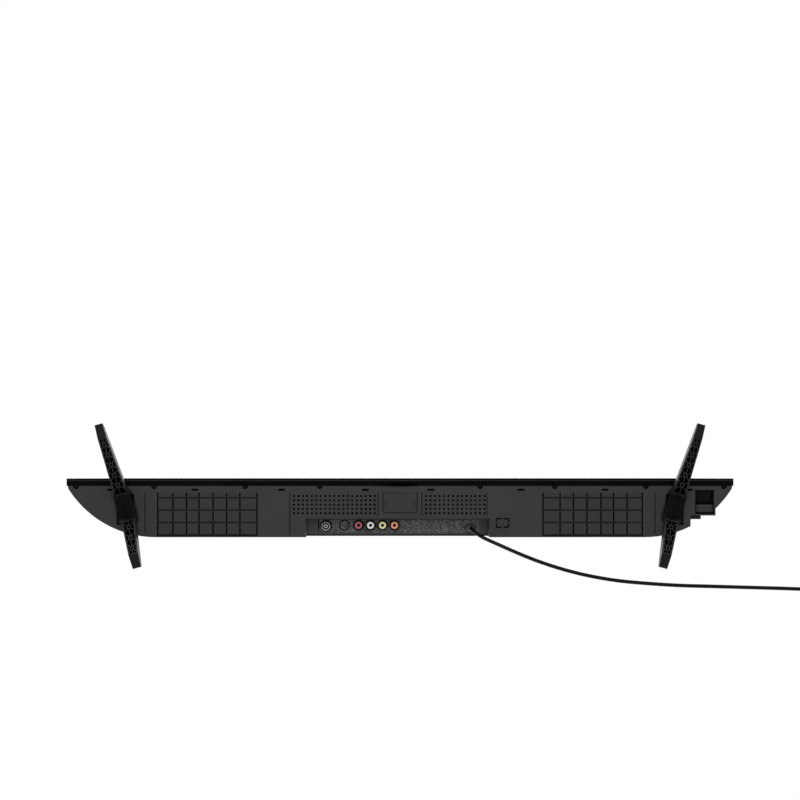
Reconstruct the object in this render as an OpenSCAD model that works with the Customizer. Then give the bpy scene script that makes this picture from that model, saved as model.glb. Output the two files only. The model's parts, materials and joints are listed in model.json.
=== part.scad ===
// Flat screen television on two splayed legs, with its mains lead put away beside it.
// Millimetres. X runs to the viewer's right, Y from the screen side to the rear, Z up from the floor.
// Most modules measure Y from the front face of the bezel and are moved into place by from_front().

/* [Body] */
// Width over the bezel
body_w = 732; // [728:1:736]
// Height of the bezel
body_h = 432; // [430:1:436]
// Depth of the body at its base
body_d = 64.5; // [64:0.5:66]
// Height of the body's lower edge above the floor
lift = 55; // [52:1:58]
// Wall of the rear cover
wall = 2.5; // [2.2:0.1:2.8]

/* [Screen] */
// Black border at each side of the picture
border_side = 17; // [16.5:0.1:19]
// Black border above the picture
border_top = 15; // [14.6:0.1:16]
// Black border below the picture
border_bottom = 24.6; // [24:0.2:27]

/* [Legs] */
// Front to rear over the legs
leg_depth = 154.6; // [146:0.2:162]
// How far the legs stand in front of the screen
leg_front = 58.3; // [54:0.1:62]
// How far in from each end a front tip stands
leg_in = 41.5; // [38:0.5:50]
// How much nearer the middle each rear tip is
leg_splay = 41.5; // [34:0.5:44]

/* [Connectors] */
// Height of the connector recess in the underside
recess_h = 60; // [56:1:64]
// Spacing of the sound and picture jacks
rca_pitch = 13.4; // [13:0.1:14]
// Wall mount holes, across
vesa_w = 200; // [180:1:220]
// Wall mount holes, up
vesa_h = 100; // [75:25:100]

/* [Key and speakers] */
// Swing of the power paddle in degrees
paddle_swing = 4; // [2:0.5:4]
// Travel of a speaker cone each way
cone_travel = 1.5; // [0.5:0.1:1.5]

/* [Mains lead] */
// Diameter of the lead
cord_d = 4; // [4:0.1:4.2]
// Turns in the coil
coil_turns = 7.25; // [6.25:1:7.25]

/* [Hidden] */
$fn = 64;
front_y = leg_front - leg_depth / 2;
bottom = lift;
top = lift + body_h;
half_w = body_w / 2;
picture_w = body_w - 2 * border_side;
picture_h = body_h - border_top - border_bottom;
hair = 0.3;
far = 200;

// Bezel, screen and backlight layers, front to rear
bezel_d = 4.5;
rail_d = 8.2;
rail_h = 8;
lip = 1.8;
lug = [10, 11.2, 14];
picture_z = top - border_top - picture_h / 2;
cell = [picture_w + 8, 1.4, picture_h + 7.6];
sheet = [picture_w + 5, 0.6, picture_h + 4.6];
plate_t = 1.5;
frame_y = lip + cell.y;
sheet_y = frame_y + 0.8;
plate_y = sheet_y + sheet.y;
pan_y = plate_y + plate_t;
frame_out = [picture_w + 14, 4.4, picture_h + 11.8];
pan_t = 0.8;
pan_rear = 26.8;
tray_rim = 4;
tray_slope = 1.4;

// Rear cover outline, from the two views of its edges
rim_in = 5.5;
rim_y = 12;
crest = [34.5, 42];
plateau = [body_d - 23.8, 200];
upper_shoulder = [half_w - 78, 101.6];
lower_shoulder = [half_w - 98, 113.4];
foot_in = 1.5;
foot_h = 27;
box_rear_hw = 121.5;
box_base_hw = 139.5;
box_base_y = body_d - 23.5;
box_top_z = bottom + 242;
box_rear_z = bottom + 189;
channel_hw = [88, 106];
channel_y = [8.5, 31.5, 33.5];

// Underside details
cover_screw_x = [88, 170, 270, half_w - 10.4];
cover_screw_y = 8.7;
screw_sink = 3.1;
screw_sink_d = 1.8;
screw_head = [2.1, 0.9];
catch_end = half_w - 48.4;
catch_x = [-catch_end, -225, -130, -38, 34, 133, 225, catch_end];
catch = [7.4, 2.1, wall + 1];
catch_y = 11.4;
grid_x = [157, 175.7, 190.3, 205.2, 220.6, 234.4, 249.3, 266];
grid_y = [21.2, 34.6, 48.3, 62.2];
grid_front = 15.7;
end_line = [280, 16, 60];
hairline = 0.8;
groove_w = 1.6;
groove_d = 1.8;
dash = 0.43;
dash_w = 1.5;
grille_pitch = [4.93, 4.69];
grille_rows = 5;
grille_y = 19.3;
grille_left = [-116.5, 19];
grille_right = [28.6, 14];
grille_hole = 2.5;
panel_x = [-121, -24, 24, 95.5];
panel_rear = 41;
square_x = [vesa_w / 2 + 6, vesa_w / 2 + 19.1];
square_y = [44.1, 53.6];
tab = [18.6, 15.6, 37.4, 2.8];
tab_mark = [15.4, 24.5, 32];
tab_in = 0.2;
tab_gap = 0.7;
tab_flange = 1;
vent_pitch = 5.19;
vent_count = 19;
vent_first = 11.8;
rear_screws = [[half_w - 116, top - 55], [half_w - 70, top - 167], [230, bottom + 207]];

// Connector recess and jacks
recess_x = [-vesa_w / 2 - 4, vesa_w / 2 - 1.5];
recess_d = 20.6;
recess_y = body_d - recess_d;
behind = body_d + 15.5;
ceiling = bottom + recess_h;
jack_plate_x = [recess_x[0] + 12, recess_x[1] - 9.8];
jack_plate_in = [1.5, 17];
plate_fit = 0.05;
plate_line = 1.4;
knockout = [6.3, 4.9, 1.2];
jack_plate_y = [recess_y + jack_plate_in[0], recess_y + jack_plate_in[1]];
jack_y = body_d - 12;
antenna_y = jack_y + 0.9;
antenna_x = recess_x[0] + 21;
knockout_x = antenna_x + 20.5;
rca_first = antenna_x + 36.6;
gland = [78.7, body_d - 8.9];
gland_l = 22;
board_t = 1.6;

// Boards: places of the parts on them are (X, Z) from the board's lower left corner, then their sizes
main_at = [8 - vesa_w / 2, body_d - 21.5, ceiling + 4];
main_size = [vesa_w - 20, 126];
main_chips = [
    [66, 58, 36, 34, 1.6], [80, 114, 30, 8, 3], [132, 36, 30, 8, 6], [120, 88, 8, 12, 1.4],
    [132, 88, 8, 12, 1.4], [144, 88, 8, 12, 1.4], [156, 88, 8, 12, 1.4]
];
main_cans = [[122, 66, 4, 9], [134, 66, 4, 9], [146, 66, 4, 9], [158, 66, 4, 9]];
sink = [62, 54, 44, 42];
sink_base = 2.4;
fin = [1.6, 7];
fins = 9;
tuner = [22, 14, 44];
power_at = [vesa_w / 2 + 10, pan_rear + 4.2, bottom + 72];
power_size = [130, 94];
power_chips = [[40, 12, 34, 28, 15], [6, 28, 20, 28, 11], [86, 48, 38, 6, 9], [2, 4, 12, 12, 10]];
power_cans = [[100, 24, 9, body_d - 48.5], [40, 72, 5, 8], [58, 72, 5, 8], [76, 72, 5, 8], [94, 72, 5, 8]];
tcon_size = [120, 30];
tcon_at = [-tcon_size.x / 2, pan_rear, box_top_z + 10];
standoff_r = 3.2;
standoff_low = [48, 22];
standoff_in = 6;
cable_w = 28;
cable_t = 0.4;

// Key pod and side bay at the right-hand end
pod_x = [half_w - 44.5, half_w - 19.6];
pod_y = [10.4, 40.7];
pod_h = 30;
well_x = [half_w - 42, half_w - 21.3];
well_y = [12.6, 38.9];
bay_x = half_w - 47;
bay_h = 85;
pivot = [36.2, bottom + 17];
pin_r = 1.2;
arm_y = pivot[0] - 2;
arm_top = bottom + 24;
plunger_y = arm_y - (arm_top - pivot[1]) * sin(paddle_swing) - 0.15;
side_x = bay_x + 8;
side_board_y = 28;
hdmi_z = [bottom + 40, bottom + 53];
usb_z = bottom + 66;
phone_z = bottom + 77;
collar = 0.7;
collar_out = 4.6;

// Speakers
speaker_x = [-72.2, 60.6];
speaker = [70, 24.8, 31.5];
speaker_y = 16.2;
cone = [60, 18];
cone_gap = 1;

// Legs
leg_tip_x = half_w - leg_in;
leg_l = norm([leg_depth, leg_splay]);
leg_turn = atan2(leg_depth, -leg_splay);
pad_l = 15.5;
pad_t = 2;
block_y = 31.6;
block_mid = (leg_front + block_y) * leg_l / leg_depth;
block_x = leg_tip_x - leg_splay * block_mid / leg_l;
block_u = [block_mid - 14, block_mid + 14];
block_hw = 8.6;
arm_hw = [4.2, 7.4, 4.5];
block_z = [bottom - 17, bottom + 7];
ring_pitch = 11.4;
rib = 0.9;
skin = 1.5;
pocket_x = [block_x - 8.3, block_x + 10.8];
pocket_y = [17, 51];
pocket_fit = 0.4;
seat_gap = 0.5;
leg_screw_u = [block_mid - 10, block_mid, block_mid + 10];

// Wall mount
vesa_z = bottom + 77;

// Mains lead: from the gland along these points of the shared frame, then the coil
route = [
    [80, 38, 77], [84, 41.5, 65], [92, 46.3, 52], [103, 51.2, 39],
    [117, 57.3, 27], [134, 64.5, 16], [154, 72, 8], [178, 79.5, 4], [205, 86, 2.4], [235, 91, 2.2],
    [268, 94, 2.2], [300, 96, 2.2], [335, 97, 2.2], [370, 98, 2.2], [405, 99, 2.4], [435, 100, 2.8],
    [450, 100, 3], [460, 100, 3]
];
cord_r = cord_d / 2;
route_steps = 3;
coil_pitch = cord_d + 0.6;
coil_out = 32.2;
coil_in = coil_out - coil_pitch * (coil_turns - 0.25) / 2;
coil_c = [470, 100 - coil_out];
coil_z = 3;
coil_steps = 24;
tail = 38;
tie_angle = 200;
tie_w = 5;
tie_t = 0.8;
plug_relief = 26;
plug_l = 36;
plug_w = 35;
plug_t = 14.2;
pin_l = 19;
pin_gap = 19;
plug_y = coil_c.y - tail;
plug_z = coil_z + coil_pitch;

// Helpers

// Moves Y from the front face of the bezel to the shared frame
module from_front() {
    translate([0, front_y, 0]) children();
}

module both_sides() {
    children();
    mirror([1, 0, 0]) children();
}

// Box between two corners
module span(a, b) {
    translate(a) cube(b - a);
}

// Upright plate round the middle of the picture
module sheet_at(w, h, y0, y1) {
    span([-w / 2, y0, picture_z - h / 2], [w / 2, y1, picture_z + h / 2]);
}

// Extrudes an outline drawn as (Y, Z) along X
module along_x(x0, x1) {
    translate([x0, 0, 0]) rotate([90, 0, 90]) linear_extrude(x1 - x0) children();
}

// Extrudes an outline drawn as (X, Z) along Y
module along_y(y0, y1) {
    translate([0, y1, 0]) rotate([90, 0, 0]) linear_extrude(y1 - y0) children();
}

// Round bar along Y
module bar_y(x, z, y0, y1, r) {
    translate([x, y1, z]) rotate([90, 0, 0]) cylinder(h = y1 - y0, r = r);
}

// Slot shape with round ends
module stadium(l, w) {
    square([l - w, w], center = true);
    for (s = [-1, 1])
        translate([s * (l - w) / 2, 0]) circle(d = w);
}

// Lens shape from two arcs
module lens(half_l, half_t) {
    r = (half_l * half_l + half_t * half_t) / (2 * half_t);
    intersection() {
        translate([0, half_t - r]) circle(r = r, $fn = 1440);
        translate([0, r - half_t]) circle(r = r, $fn = 1440);
    }
}

// Swept tubes

function unit(v) = v / norm(v);
function headings(p) = [for (i = [0:len(p) - 1]) unit(p[min(i + 1, len(p) - 1)] - p[max(i - 1, 0)])];
function carried(t, n, i = 0, done = []) =
    i == len(t) ? done :
    let (next = unit(n - (n * t[i]) * t[i]))
    carried(t, next, i + 1, concat(done, [next]));

// Smooth curve through the points of a route
function between(a, b, c, d, s) =
    b + 0.5 * s * (c - a + s * (2 * a - 5 * b + 4 * c - d + s * (3 * (b - c) + d - a)));
function smooth(p, steps) = [
    for (i = [0:len(p) - 2], k = [0:steps - 1])
        between(p[max(i - 1, 0)], p[i], p[i + 1], p[min(i + 2, len(p) - 1)], k / steps),
    p[len(p) - 1]
];

function total(v, i = 0, sum = 0) = i == len(v) ? sum : total(v, i + 1, sum + v[i]);
function run_of(p) = total([for (i = [1:len(p) - 1]) norm(p[i] - p[i - 1])]);

// Tube of the given sides along a path, closed by flat ends
module tube(path, r, sides, first) {
    t = headings(path);
    n = carried(t, first);
    last = len(path) - 1;
    points = [
        for (i = [0:last], k = [0:sides - 1])
            let (a = 360 * k / sides)
            path[i] + r * (cos(a) * n[i] + sin(a) * cross(t[i], n[i]))
    ];
    walls = [
        for (i = [0:last - 1], k = [0:sides - 1])
            let (a = i * sides + k, b = i * sides + (k + 1) % sides)
            each [[a, a + sides, b], [b, a + sides, b + sides]]
    ];
    ends = [
        for (k = [1:sides - 2])
            each [[0, k, k + 1], [last * sides, last * sides + k + 1, last * sides + k]]
    ];
    polyhedron(points, concat(walls, ends), convexity = 10);
}

// Rear cover forms, each drawn smaller by t for the hollow inside

// The solid form starts behind the bezel, the hollow one well in front of it
function front_of(t) = t == 0 ? bezel_d : -20;

// Plan of the back: sides set in from the bezel's ends, a flat rear and a round shoulder at each end
module plan(t, side, rear, shoulder, front) {
    intersection() {
        translate([-half_w + side + t, front]) square([body_w - 2 * (side + t), far]);
        union() {
            translate([-shoulder[0], -far]) square([2 * shoulder[0], rear + far - t]);
            for (s = [-1, 1])
                translate([s * shoulder[0], rear - shoulder[1]]) circle(r = shoulder[1] - t, $fn = 96);
        }
    }
}

module plan_upper(t, front) {
    plan(t, rim_in, plateau[0], upper_shoulder, front);
}

module plan_lower(t, front) {
    plan(t, foot_in, body_d, lower_shoulder, front);
}

// Sunk panel in the middle of the upper back, with slanting sides
module channel(t) {
    intersection() {
        along_y(0, 80)
            offset(delta = t)
                polygon([
                    [-channel_hw[0], top + 5], [-channel_hw[1], top - crest[1]],
                    [-channel_hw[1], box_top_z], [channel_hw[1], box_top_z],
                    [channel_hw[1], top - crest[1]], [channel_hw[0], top + 5]
                ]);
        along_x(-half_w, half_w)
            translate([-t, 0])
                polygon([
                    [channel_y[0], top + 5], [channel_y[1], top - crest[1]],
                    [channel_y[2], top - 2 * crest[1]], [channel_y[2], box_top_z - 20],
                    [far, box_top_z - 20], [far, top + 5]
                ]);
    }
}

// Hollow that runs aslant down each top slope and fades out below the crest
module slant(t) {
    from = [205, rim_y, top - rim_in];
    to = [239, crest[0], top - crest[1]];
    away = [0, 7.2, 4.6];
    d = to - from;
    both_sides()
        translate(from + away - 0.6 * d)
            rotate([0, acos(d.z / norm(d)), atan2(d.y, d.x)])
                cylinder(h = 2.6 * norm(d), r1 = 13 + t, r2 = 7 + t);
}

module upper_form(t) {
    y0 = t == 0 ? 0 : -far;
    difference() {
        intersection() {
            translate([0, 0, bottom + wall]) linear_extrude(body_h) plan_upper(t, front_of(t));
            along_x(-half_w, half_w)
                offset(delta = -t)
                    polygon([
                        [y0, bottom - 20], [y0, top - rim_in], [rim_y, top - rim_in],
                        [crest[0], top - crest[1]], [plateau[0], top - plateau[1]],
                        [plateau[0], bottom - 20]
                    ]);
        }
        channel(t);
        slant(t);
    }
}

module lower_form(t) {
    hull() {
        translate([0, 0, bottom + t]) linear_extrude(foot_h - t) plan_lower(t, front_of(t));
        translate([0, 0, top - plateau[1] - 1]) linear_extrude(1) plan_upper(t + 0.5, front_of(t));
    }
}

module box_form(t) {
    intersection() {
        translate([0, 0, bottom + t])
            linear_extrude(body_h)
                offset(delta = -t)
                    polygon([
                        [-box_base_hw, front_of(t) - t], [-box_base_hw, box_base_y], [-box_rear_hw, body_d],
                        [box_rear_hw, body_d], [box_base_hw, box_base_y], [box_base_hw, front_of(t) - t]
                    ]);
        along_x(-half_w, half_w)
            offset(delta = -t)
                polygon([
                    [front_of(t) - t, bottom - 20], [front_of(t) - t, box_top_z], [box_base_y, box_top_z],
                    [body_d, box_rear_z], [body_d, bottom - 20]
                ]);
    }
}

module cover_form(t) {
    upper_form(t);
    lower_form(t);
    box_form(t);
}

// Underside cuts of the rear cover

module grille(start) {
    for (i = [0:start[1] - 1], j = [0:grille_rows - 1])
        translate([start[0] + i * grille_pitch.x, grille_y + j * grille_pitch.y, bottom - 1])
            cylinder(h = wall + 2, d = grille_hole, $fn = 16);
}

module groove(a, b) {
    span([a.x, a.y, bottom - 1], [b.x, b.y, bottom + groove_d]);
}

module grid_panel() {
    for (x = grid_x)
        groove([x - groove_w / 2, grid_front], [x + groove_w / 2, grid_y[3]]);
    for (y = grid_y)
        groove([grid_x[0] - groove_w / 2, y - groove_w / 2], [grid_x[7] + groove_w / 2, y + groove_w / 2]);
    groove([end_line.x - hairline / 2, end_line.y], [end_line.x + hairline / 2, end_line.z]);
}

// Lines beside the grilles and the service cover; the first one runs on to the rear
module panel_lines() {
    for (x = panel_x)
        groove([x - hairline / 2, grid_front], [x + hairline / 2, x == panel_x[0] ? grid_y[3] : panel_rear]);
}

// A side's two dashes, one from each corner
function dashes(side) =
    let (l = dash * (side[1] - side[0]))
    [[side[0], side[0] + l], [side[1] - l, side[1]]];

// Dashed square outline beside the connector recess
module square_lines() {
    for (x = square_x)
        for (part = dashes(square_y))
            groove([x - dash_w / 2, part[0]], [x + dash_w / 2, part[1]]);
    for (y = square_y)
        for (part = dashes(square_x))
            groove([part[0], y - dash_w / 2], [part[1], y + dash_w / 2]);
}

// Outline of the service cover, grown at its sides and rear by one gap and at its front by another
module tab_outline(gap, front) {
    hw = tab[0] + gap;
    r = tab[3] + gap;
    y0 = tab[1] - front;
    y1 = tab[2] + gap;
    translate([-hw, y0]) square([2 * hw, y1 - r - y0]);
    translate([r - hw, y0]) square([2 * (hw - r), y1 - y0]);
    for (s = [-1, 1])
        translate([s * (hw - r), y1 - r]) circle(r = r);
}

module cover_screw_holes(head_r, shaft_r, head_depth) {
    both_sides()
        for (x = cover_screw_x)
            translate([x, cover_screw_y, 0]) {
                translate([0, 0, bottom - 1]) cylinder(h = 1 + head_depth, r = head_r);
                translate([0, 0, bottom]) cylinder(h = 16, r = shaft_r);
            }
}

// Depth of the back where a rear screw sits
function back_at(z) = z > top - plateau[1]
    ? plateau[0] - (plateau[0] - crest[0]) * (z - top + plateau[1]) / (plateau[1] - crest[1])
    : plateau[0] + (body_d - plateau[0]) * (top - plateau[1] - z) / (top - plateau[1] - bottom - foot_h);

// Room of a leg pocket in the underside, grown by the given wall
module leg_room(grow, h) {
    span(
        [pocket_x[0] - grow, pocket_y[0] - grow, bottom - 1],
        [pocket_x[1] + grow, pocket_y[1] + grow, bottom + h]
    );
}

module leg_pocket(grow, h) {
    both_sides() leg_room(grow, h);
}

module rear_cover() {
    color("#46464a") from_front() difference() {
        union() {
            difference() {
                cover_form(0);
                cover_form(wall);
            }
            intersection() {
                cover_form(0);
                union() {
                    span(
                        [recess_x[0] - wall, recess_y - wall, bottom],
                        [recess_x[1] + wall, behind, ceiling + wall]
                    );
                    span([bay_x - wall, pod_y[1] - wall, bottom], [half_w, behind, bottom + bay_h + wall]);
                    leg_pocket(2, block_z[1] - bottom + wall);
                    both_sides()
                        for (s = rear_screws)
                            bar_y(s.x, s.y, pan_rear, 60, 4);
                }
            }
            span([pod_x[0], pod_y[0], bottom], [pod_x[1], pod_y[1], bottom + pod_h]);
        }
        span([-half_w - 1, -1, bottom - 1], [half_w + 1, rail_d, bottom + rail_h + hair]);
        span([recess_x[0], recess_y, bottom - 1], [recess_x[1], behind, ceiling]);
        span(
            [jack_plate_x[0], jack_plate_y[0], ceiling - 1],
            [jack_plate_x[1], jack_plate_y[1], ceiling + wall + 1]
        );
        span([bay_x, pod_y[1], bottom - 1], [half_w + 10, behind, bottom + bay_h]);
        span(
            [bay_x + 0.6, pod_y[1] - wall - 1, bottom + 32],
            [bay_x + 15.4, pod_y[1] + 1, bottom + bay_h - 1]
        );
        span([well_x[0], well_y[0], bottom - 1], [well_x[1], well_y[1], bottom + pod_h - 2]);
        translate([well_x[0] - 2, pivot[0], pivot[1]])
            rotate([0, 90, 0]) cylinder(h = well_x[1] - well_x[0] + 3.3, r = pin_r + 0.05);
        leg_pocket(0, block_z[1] - bottom);
        both_sides()
            leg_place()
                for (u = leg_screw_u)
                    translate([u, 0, bottom]) cylinder(h = 14, r = 2.2);
        grille(grille_left);
        grille(grille_right);
        both_sides() grid_panel();
        panel_lines();
        square_lines();
        for (x = catch_x)
            translate([x - catch.x / 2, catch_y, bottom - 1]) cube(catch + [0, 0, 1]);
        translate([0, 0, bottom - 1]) linear_extrude(wall + 2) tab_outline(tab_gap, plate_fit);
        cover_screw_holes(screw_sink, 1.6, screw_sink_d);
        both_sides()
            for (i = [0:vent_count - 1])
                translate([vent_first + i * vent_pitch - 1.3, 45, box_rear_z - 10]) cube([2.6, 15, 60]);
        both_sides()
            for (s = rear_screws) {
                bar_y(s.x, s.y, pan_rear - 1, behind, 1.6);
                bar_y(s.x, s.y, back_at(s.y) - 1.4, behind, 3.4);
            }
        both_sides()
            for (k = [0, 1])
                bar_y(vesa_w / 2, vesa_z + k * vesa_h, body_d - wall - 1, body_d + 1, 6.2);
    }
}

// Bezel and screen

module front_bezel() {
    color("#141416") from_front() difference() {
        union() {
            span([-half_w, 0, bottom], [half_w, bezel_d, top]);
            span([-half_w, 0, bottom], [half_w, rail_d, bottom + rail_h]);
            both_sides()
                for (x = cover_screw_x)
                    span(
                        [x - lug.x / 2, bezel_d, bottom + wall + hair],
                        [x + lug.x / 2, lug.y, bottom + lug.z]
                    );
        }
        sheet_at(picture_w, picture_h, -1, 30);
        sheet_at(frame_out.x + 1, frame_out.z + 1, lip, 30);
        cover_screw_holes(screw_sink, 1.5, screw_sink_d);
        translate([0, 6.6, bottom - 1]) linear_extrude(6) lens(21.2, 1.7);
    }
}

module lcd_panel() {
    color("#05060a") from_front() sheet_at(cell.x, cell.z, lip, frame_y);
}

module optical_sheets() {
    color("#eef0f2") from_front() sheet_at(sheet.x, sheet.z, sheet_y, plate_y);
}

module diffuser_plate() {
    color("#f6f7f8") from_front() sheet_at(sheet.x, sheet.z, plate_y, pan_y);
}

module middle_frame() {
    color("#1c1c1e") from_front() difference() {
        sheet_at(frame_out.x, frame_out.z, frame_y, frame_y + frame_out.y);
        sheet_at(picture_w + 1, picture_h + 1, 0, 30);
        sheet_at(sheet.x + 0.6, sheet.z + 0.6, sheet_y, 30);
    }
}

// Space inside the backlight tray, drawn smaller by t
module tray(t, y0, y1) {
    hull()
        for (y = [y0, y1 - 0.1])
            let (in = 2 * (tray_rim + t + tray_slope * (y - pan_y)))
            sheet_at(sheet.x - in, sheet.z - in, y, y + 0.1);
}

module backlight_pan() {
    color("#b9bcc0") from_front() difference() {
        union() {
            sheet_at(sheet.x, sheet.z, pan_y, pan_y + pan_t);
            tray(0, pan_y, pan_rear);
        }
        tray(pan_t, pan_y - 1, pan_rear - pan_t);
    }
}

module reflector() {
    color("#fbfbfb") from_front() difference() {
        tray(pan_t + hair, pan_y + 0.2, pan_rear - pan_t);
        tray(pan_t + hair + 0.5, pan_y - 0.8, pan_rear - pan_t - 0.5);
    }
}

led_rows = 3;
led_columns = 8;
led_bar = [picture_w - 98, 1.2, 14];
led_step = [(picture_w - 58) / led_columns, (picture_h - 47.4) / led_rows];
led_y = pan_rear - pan_t - 0.5;

module led_bars() {
    color("#d8d8d4") from_front()
        for (j = [0:led_rows - 1])
            let (z = picture_z + (j - 1) * led_step.y)
            span(
                [-led_bar.x / 2, led_y - led_bar.y, z - led_bar.z / 2],
                [led_bar.x / 2, led_y, z + led_bar.z / 2]
            );
}

module led_lenses() {
    color("#f4f6fa") from_front()
        for (i = [0:led_columns - 1], j = [0:led_rows - 1])
            translate([(i - 3.5) * led_step.x, led_y - led_bar.y, picture_z + (j - 1) * led_step.y])
                rotate([90, 0, 0])
                    intersection() {
                        translate([0, 0, -3]) sphere(r = 8);
                        cylinder(h = 8, r = 8);
                    }
}

// Underside trim and fasteners

module service_cover() {
    color("#3c3c40") from_front() difference() {
        union() {
            translate([0, 0, bottom + tab_in]) linear_extrude(wall - tab_in) tab_outline(0, 0);
            translate([0, 0, bottom + wall - tab_flange])
                linear_extrude(tab_flange) tab_outline(tab_gap - plate_fit, 0);
        }
        for (x = [-tab_mark.x, tab_mark.x])
            span(
                [x - hairline / 2, tab_mark.y, bottom - 1],
                [x + hairline / 2, tab_mark.z, bottom + tab_in + hairline / 2]
            );
    }
}

module ir_window() {
    color("#0b0608") from_front()
        translate([0, 6.6, bottom - 1.2]) linear_extrude(6) lens(21, 1.5);
}

module ir_board() {
    color("#1f5a38") from_front() span([-16, 9.4, bottom + wall], [16, 11, bottom + 16]);
}

module cover_screws() {
    color("#1d1d20") from_front() {
        both_sides()
            for (x = cover_screw_x)
                translate([x, cover_screw_y, bottom + screw_sink_d - screw_head[1]]) difference() {
                    union() {
                        cylinder(h = screw_head[1], r = screw_head[0]);
                        cylinder(h = 11.4, r = 1.45);
                    }
                    for (a = [0, 90])
                        rotate([0, 0, a]) cube([2.4, 0.6, 1.2], center = true);
                }
        both_sides()
            for (s = rear_screws)
                difference() {
                    union() {
                        bar_y(s.x, s.y, back_at(s.y) - 1.4, back_at(s.y) - 0.2, 3.2);
                        bar_y(s.x, s.y, pan_rear + 0.5, back_at(s.y) - 1.4, 1.5);
                    }
                    for (a = [0, 90])
                        translate([s.x, back_at(s.y), s.y])
                            rotate([0, a, 0]) cube([3.4, 1.6, 0.8], center = true);
                }
    }
}

// Boards

// Blocks and round cans standing on the rear face of a board
module on_board(at, chips, cans) {
    y = at.y + board_t;
    for (c = chips)
        translate([at.x + c[0], y, at.z + c[1]]) cube([c[2], c[4], c[3]]);
    for (c = cans)
        bar_y(at.x + c[0], at.z + c[1], y, y + c[3], c[2]);
}

module main_board() {
    color("#1e6b43") from_front() translate(main_at) cube([main_size.x, board_t, main_size.y]);
}

board_rear = main_at.y + board_t;

module main_heatsink() {
    y = board_rear + main_chips[0][4];
    color("#a9adb2") from_front() translate([main_at.x + sink[0], y, main_at.z + sink[1]]) {
        cube([sink[2], sink_base, sink[3]]);
        for (i = [0:fins - 1])
            translate([i * (sink[2] - fin[0]) / (fins - 1), sink_base, 0]) cube([fin[0], fin[1], sink[3]]);
    }
}

module main_board_parts() {
    color("#202226") from_front() on_board(main_at, main_chips, main_cans);
}

module tuner_can() {
    color("#c4c7ca") from_front() translate([antenna_x - 9, board_rear, ceiling + 4]) cube(tuner);
}

module power_board() {
    color("#b48a4a") from_front() translate(power_at) cube([power_size.x, board_t, power_size.y]);
}

module power_board_parts() {
    color("#2b2b2e") from_front() on_board(power_at, power_chips, power_cans);
}

module tcon_board() {
    color("#245f8a") from_front() translate(tcon_at) cube([tcon_size.x, board_t, tcon_size.y]);
}

// Flat cable from the panel board down to the main board
module signal_cable() {
    y0 = pan_rear + board_t;
    y1 = board_rear + main_chips[1][4] + 0.2;
    z0 = tcon_at.z + 8;
    bend = box_top_z - 10;
    z1 = main_at.z + main_chips[1][1] + main_chips[1][3];
    color("#e6e6e2") from_front()
        along_x(-cable_w / 2, cable_w / 2)
            polygon([
                [y0, z0], [y0, bend], [y1, z1 + 10], [y1, z1 + 2], [board_rear, z1 + 2], [board_rear, z1],
                [y1 + cable_t, z1], [y1 + cable_t, z1 + 10 + cable_t / 2],
                [y0 + cable_t, bend + cable_t / 2], [y0 + cable_t, z0]
            ]);
}

// Posts between the backlight tray and the corners of a board, from the given height up
module posts(at, size, low) {
    for (x = [standoff_in, size.x - standoff_in], z = [low, size.y - standoff_in])
        bar_y(at.x + x, at.z + z, pan_rear, at.y, standoff_r);
}

module board_standoffs() {
    color("#c9a24b") from_front() {
        posts(main_at, main_size, standoff_low[0]);
        posts(power_at, power_size, standoff_low[1]);
    }
}

// Downward jacks

function rca_x(i) = rca_first + i * rca_pitch;

module jack_plate() {
    color("#3f3f43") from_front() difference() {
        span(
            [jack_plate_x[0] + plate_fit, jack_plate_y[0] + plate_fit, ceiling],
            [jack_plate_x[1] - plate_fit, jack_plate_y[1] - plate_fit, ceiling + 2]
        );
        translate([antenna_x, antenna_y, ceiling - 1]) cylinder(h = 4, r = 5);
        for (i = [0:3])
            translate([rca_x(i), jack_y, ceiling - 1]) cylinder(h = 4, r = 5.6);
        translate([gland.x, gland.y, ceiling - 1]) cylinder(h = 4, r = 4.05);
        span(
            [jack_plate_x[0] - 1, jack_plate_y[0] - 1, ceiling - 1],
            [jack_plate_x[0] + plate_line, jack_plate_y[1] - 2, ceiling + plate_line]
        );
        translate([knockout_x, jack_y, ceiling - 1]) difference() {
            cylinder(h = 1 + plate_line, r = knockout[0]);
            cylinder(h = 1 + plate_line, r = knockout[1]);
            cube([3 * knockout[0], knockout[2], 6], center = true);
            translate([-knockout[2] / 2, 0, -1]) cube([knockout[2], 2 * knockout[0], 6]);
        }
    }
}

module antenna_jack() {
    color("#c8cbd0") from_front() translate([antenna_x, antenna_y, 0]) difference() {
        union() {
            translate([0, 0, ceiling - 1.4]) cylinder(h = 1.4, r = 6.2);
            translate([0, 0, ceiling - 11]) cylinder(h = 15, r = 4.75);
        }
        translate([0, 0, ceiling - 12]) cylinder(h = 10, r = 4);
    }
    color("#d8d8d4") from_front()
        translate([antenna_x, antenna_y, ceiling - 9]) difference() {
            cylinder(h = 8, r = 2.7);
            translate([0, 0, -1]) cylinder(h = 7, r = 0.8);
        }
}

module rca_block() {
    color("#17171a") from_front() difference() {
        union() {
            span(
                [rca_x(0) - 6.6, board_rear, ceiling + wall + 0.2],
                [rca_x(3) + 6.6, jack_y + 7.5, ceiling + 16]
            );
            for (i = [0:3])
                translate([rca_x(i), jack_y, ceiling - 0.6]) cylinder(h = 4, r = 5.5);
        }
        for (i = [0:3])
            translate([rca_x(i), jack_y, ceiling - 2]) cylinder(h = 12, r = 4.55);
    }
}

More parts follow.
